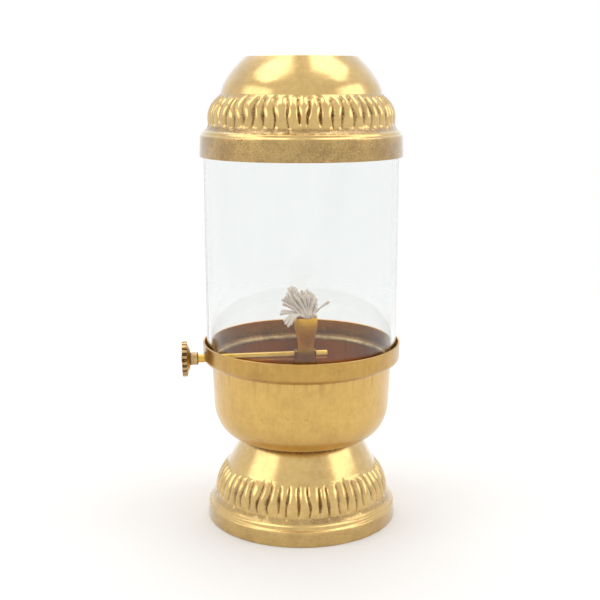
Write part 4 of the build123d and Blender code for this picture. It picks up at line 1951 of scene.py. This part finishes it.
    def _bundle(self, name: str, yarns: list[Yarn]) -> bpy.types.Object:
        """Join yarns into one piece.

        Args:
            name: Name of the piece.
            yarns: The yarns.

        Returns:
            The object.
        """
        parts = []
        for number, yarn in enumerate(yarns):
            points, between = yarn.grid()
            points = points + np.array(self.mouth)
            parts.append(mesh_from_grid(f"{name}_{number}", points, False, 70.0, {"ply": between}))
        whole = parts[0]
        with bpy.context.temp_override(
            active_object=whole, object=whole, selected_objects=parts, selected_editable_objects=parts
        ):
            bpy.ops.object.join()
        whole.name = name
        whole.data.name = name
        return whole


@dataclass
class Holder:
    """Hourglass holder and the stand that carries it. Sizes in millimetres."""

    centre: tuple[float, float] = (1.5, -7.2)
    mouth_z: float = 97.7
    mouth_radius: float = 5.25
    wall: float = 0.6
    lip_over: float = 0.06
    lip_drop: float = 0.1
    lip_flatness: float = 0.75
    lip_points: int = 14
    lip_waves: Waviness = Waviness(height=0.03, seed=41, count=9)

    def build(self, finishes: Finishes, nodes: Nodes) -> None:
        """Dress the holder and its stand, and build the turned-over lip of its mouth.

        Args:
            finishes: The lamp's finishes.
            nodes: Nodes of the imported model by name.
        """
        aged = finishes.of(Finishes.AGED)
        middle = self.mouth_radius - self.wall / 2
        half = self.wall / 2 + self.lip_over
        low = self.mouth_z - self.lip_drop
        ring = [
            (middle + half * math.cos(turn), low + self.lip_flatness * half * math.sin(turn))
            for turn in np.linspace(0, FULL_TURN, self.lip_points, endpoint=False)
        ]
        wall = Turned(ring, columns=96, sharp_angle=80.0)
        uneven = self.lip_waves.at(wall.angles()[None, :], np.zeros((len(ring), 1)))
        lip = wall.mesh("holder_lip", uneven, Matrix.Translation((*self.centre, 0)))
        dress(lip, aged, Body.STAND, Slot.PLAIN)
        redress(nodes["wick_holder"], aged)
        redress(nodes["holder_stand"], aged)


@dataclass(frozen=True)
class SoftBox:
    """Soft rectangular lamp that faces the oil lamp's middle.

    Attributes:
        name: Name of the lamp.
        azimuth: Angle from the camera's side, in degrees, positive to the right.
        height: Angle over the horizon, in degrees.
        distance: Distance from the oil lamp's middle, in metres.
        size: Width and height, in metres.
        power: Power in watts.
    """

    MIDDLE = (0.0, 0.0, 0.12)

    name: str
    azimuth: float
    height: float
    distance: float
    size: Point
    power: float

    def hang(self) -> None:
        """Hang the lamp."""
        data = bpy.data.lights.new(self.name, "AREA")
        data.shape = "RECTANGLE"
        data.size, data.size_y = self.size
        data.energy = self.power
        lamp = bpy.data.objects.new(self.name, data)
        bpy.context.scene.collection.objects.link(lamp)
        turn, rise = math.radians(self.azimuth), math.radians(self.height)
        level = math.cos(rise)
        back = Vector((math.sin(turn) * level, -math.cos(turn) * level, math.sin(rise)))
        lamp.location = Vector(self.MIDDLE) + back * self.distance
        lamp.rotation_mode = "QUATERNION"
        lamp.rotation_quaternion = back.to_track_quat("Z", "Y")


class Studio:
    """Pale floor, soft lamps and the camera of the photograph."""

    # Camera: its place, its shift to the side, its lens and its sensor in millimetres.
    EYE = (-42.1, -481.0, 203.6)
    SIDE_SHIFT = -0.6
    LENS = 63.0
    SENSOR = 36.0
    # How far it looks down and to the right, in degrees, and what it sees, in metres.
    PITCH = 11.64
    YAW = 5.0
    CLIP = (0.01, 20.0)
    # Strength of the world as a light. The floor's half width is in metres.
    WORLD_LIGHT = 0.83
    FLOOR_REACH = 0.9
    FADE_SHARES = (0.2, 0.9)
    FLOOR_COLOURS = ((0.81, 0.80, 0.79), (0.85, 0.84, 0.83))
    LAMPS = (
        SoftBox("left_high_box", azimuth=-92, height=67, distance=1.0, size=(0.48, 0.56), power=1.6),
        SoftBox("right_high_box", azimuth=92, height=67, distance=1.0, size=(0.48, 0.56), power=1.6),
        SoftBox("left_box", azimuth=-74, height=26, distance=1.0, size=(0.75, 0.45), power=1.5),
        SoftBox("right_box", azimuth=74, height=26, distance=1.0, size=(0.75, 0.45), power=1.5),
        SoftBox("back_box", azimuth=180, height=55, distance=1.1, size=(0.9, 0.5), power=3.0),
    )

    def build(self) -> None:
        """Build the stage, the lamps, the world and the camera."""
        bpy.context.scene.view_settings.view_transform = "Standard"
        self._world()
        self._floor()
        for lamp in self.LAMPS:
            lamp.hang()
        self._camera()
        LOG.info("studio is set")

    def _seen(self, board: Board) -> Socket:
        """Tell the rays that show the background.

        Args:
            board: The world's board.

        Returns:
            1 for rays from the camera, in reflections and through glass, and 0 for the others.
        """
        path = board.add("ShaderNodeLightPath").outputs
        sharp = board.maths("MAXIMUM", path["Is Glossy Ray"], path["Is Transmission Ray"])
        return board.maths("MAXIMUM", path["Is Camera Ray"], sharp)

    def _world(self) -> None:
        """Make the world white where it is seen and a little less bright as a light."""
        world = bpy.data.worlds.new("Studio")
        bpy.context.scene.world = world
        world.use_nodes = True
        board = Board(world.node_tree)
        back = world.node_tree.nodes["Background"]
        board.feed(back.inputs["Color"], (1.0, 1.0, 1.0))
        strength = board.span(self._seen(board), 0.0, 1.0, start=self.WORLD_LIGHT)
        board.feed(back.inputs["Strength"], strength)

    def _floor(self) -> None:
        """Lay the pale floor, which keeps the lamp's shadow and fades out at its edges."""
        size = self.FLOOR_REACH
        corners = [(-size, -size, 0), (size, -size, 0), (size, size, 0), (-size, size, 0)]
        mesh = bpy.data.meshes.new("floor")
        mesh.from_pydata(corners, [], [(0, 1, 2, 3)])
        floor = bpy.data.objects.new("floor", mesh)
        bpy.context.scene.collection.objects.link(floor)
        material, board, shader, where = new_material("Pale floor")
        paper = board.noise(where, 900.0, detail=3.0)
        board.feed(shader.inputs["Base Color"], board.blend(paper, *self.FLOOR_COLOURS))
        shader.inputs["Roughness"].default_value = 0.8
        away = board.add("ShaderNodeVectorMath", operation="LENGTH")
        board.feed(away.inputs[0], where)
        near, far = self.FADE_SHARES
        fade = board.span(away.outputs["Value"], near * size, far * size)
        board.show(fade, shader, board.add("ShaderNodeBsdfTransparent"))
        mesh.materials.append(material)

    def _camera(self) -> None:
        """Place the camera where the photograph was taken from."""
        data = bpy.data.cameras.new("camera")
        data.lens = self.LENS
        data.sensor_width = self.SENSOR
        data.clip_start, data.clip_end = self.CLIP
        camera = bpy.data.objects.new("camera", data)
        bpy.context.scene.collection.objects.link(camera)
        yaw = math.radians(self.YAW)
        shift = Vector((math.cos(yaw), -math.sin(yaw), 0)) * self.SIDE_SHIFT
        camera.location = (Vector(self.EYE) + shift) * MM
        camera.rotation_euler = (math.radians(90 - self.PITCH), 0, -yaw)
        bpy.context.scene.camera = camera


def main() -> None:
    """Build the lamp, then the studio round it."""
    logging.basicConfig(level=logging.INFO, format="%(name)s: %(message)s")
    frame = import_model()
    nodes = frame["nodes"]
    finishes = Finishes()
    Foot().build(finishes, nodes)
    Bowl().build(finishes)
    Holder().build(finishes, nodes)
    Adjuster().build(finishes, nodes)
    Wick().build(finishes)
    redress(nodes["glass_chimney"], finishes.of(ClearGlass()))
    Crown().build(finishes)
    Studio().build()


if __name__ == "__main__":
    main()
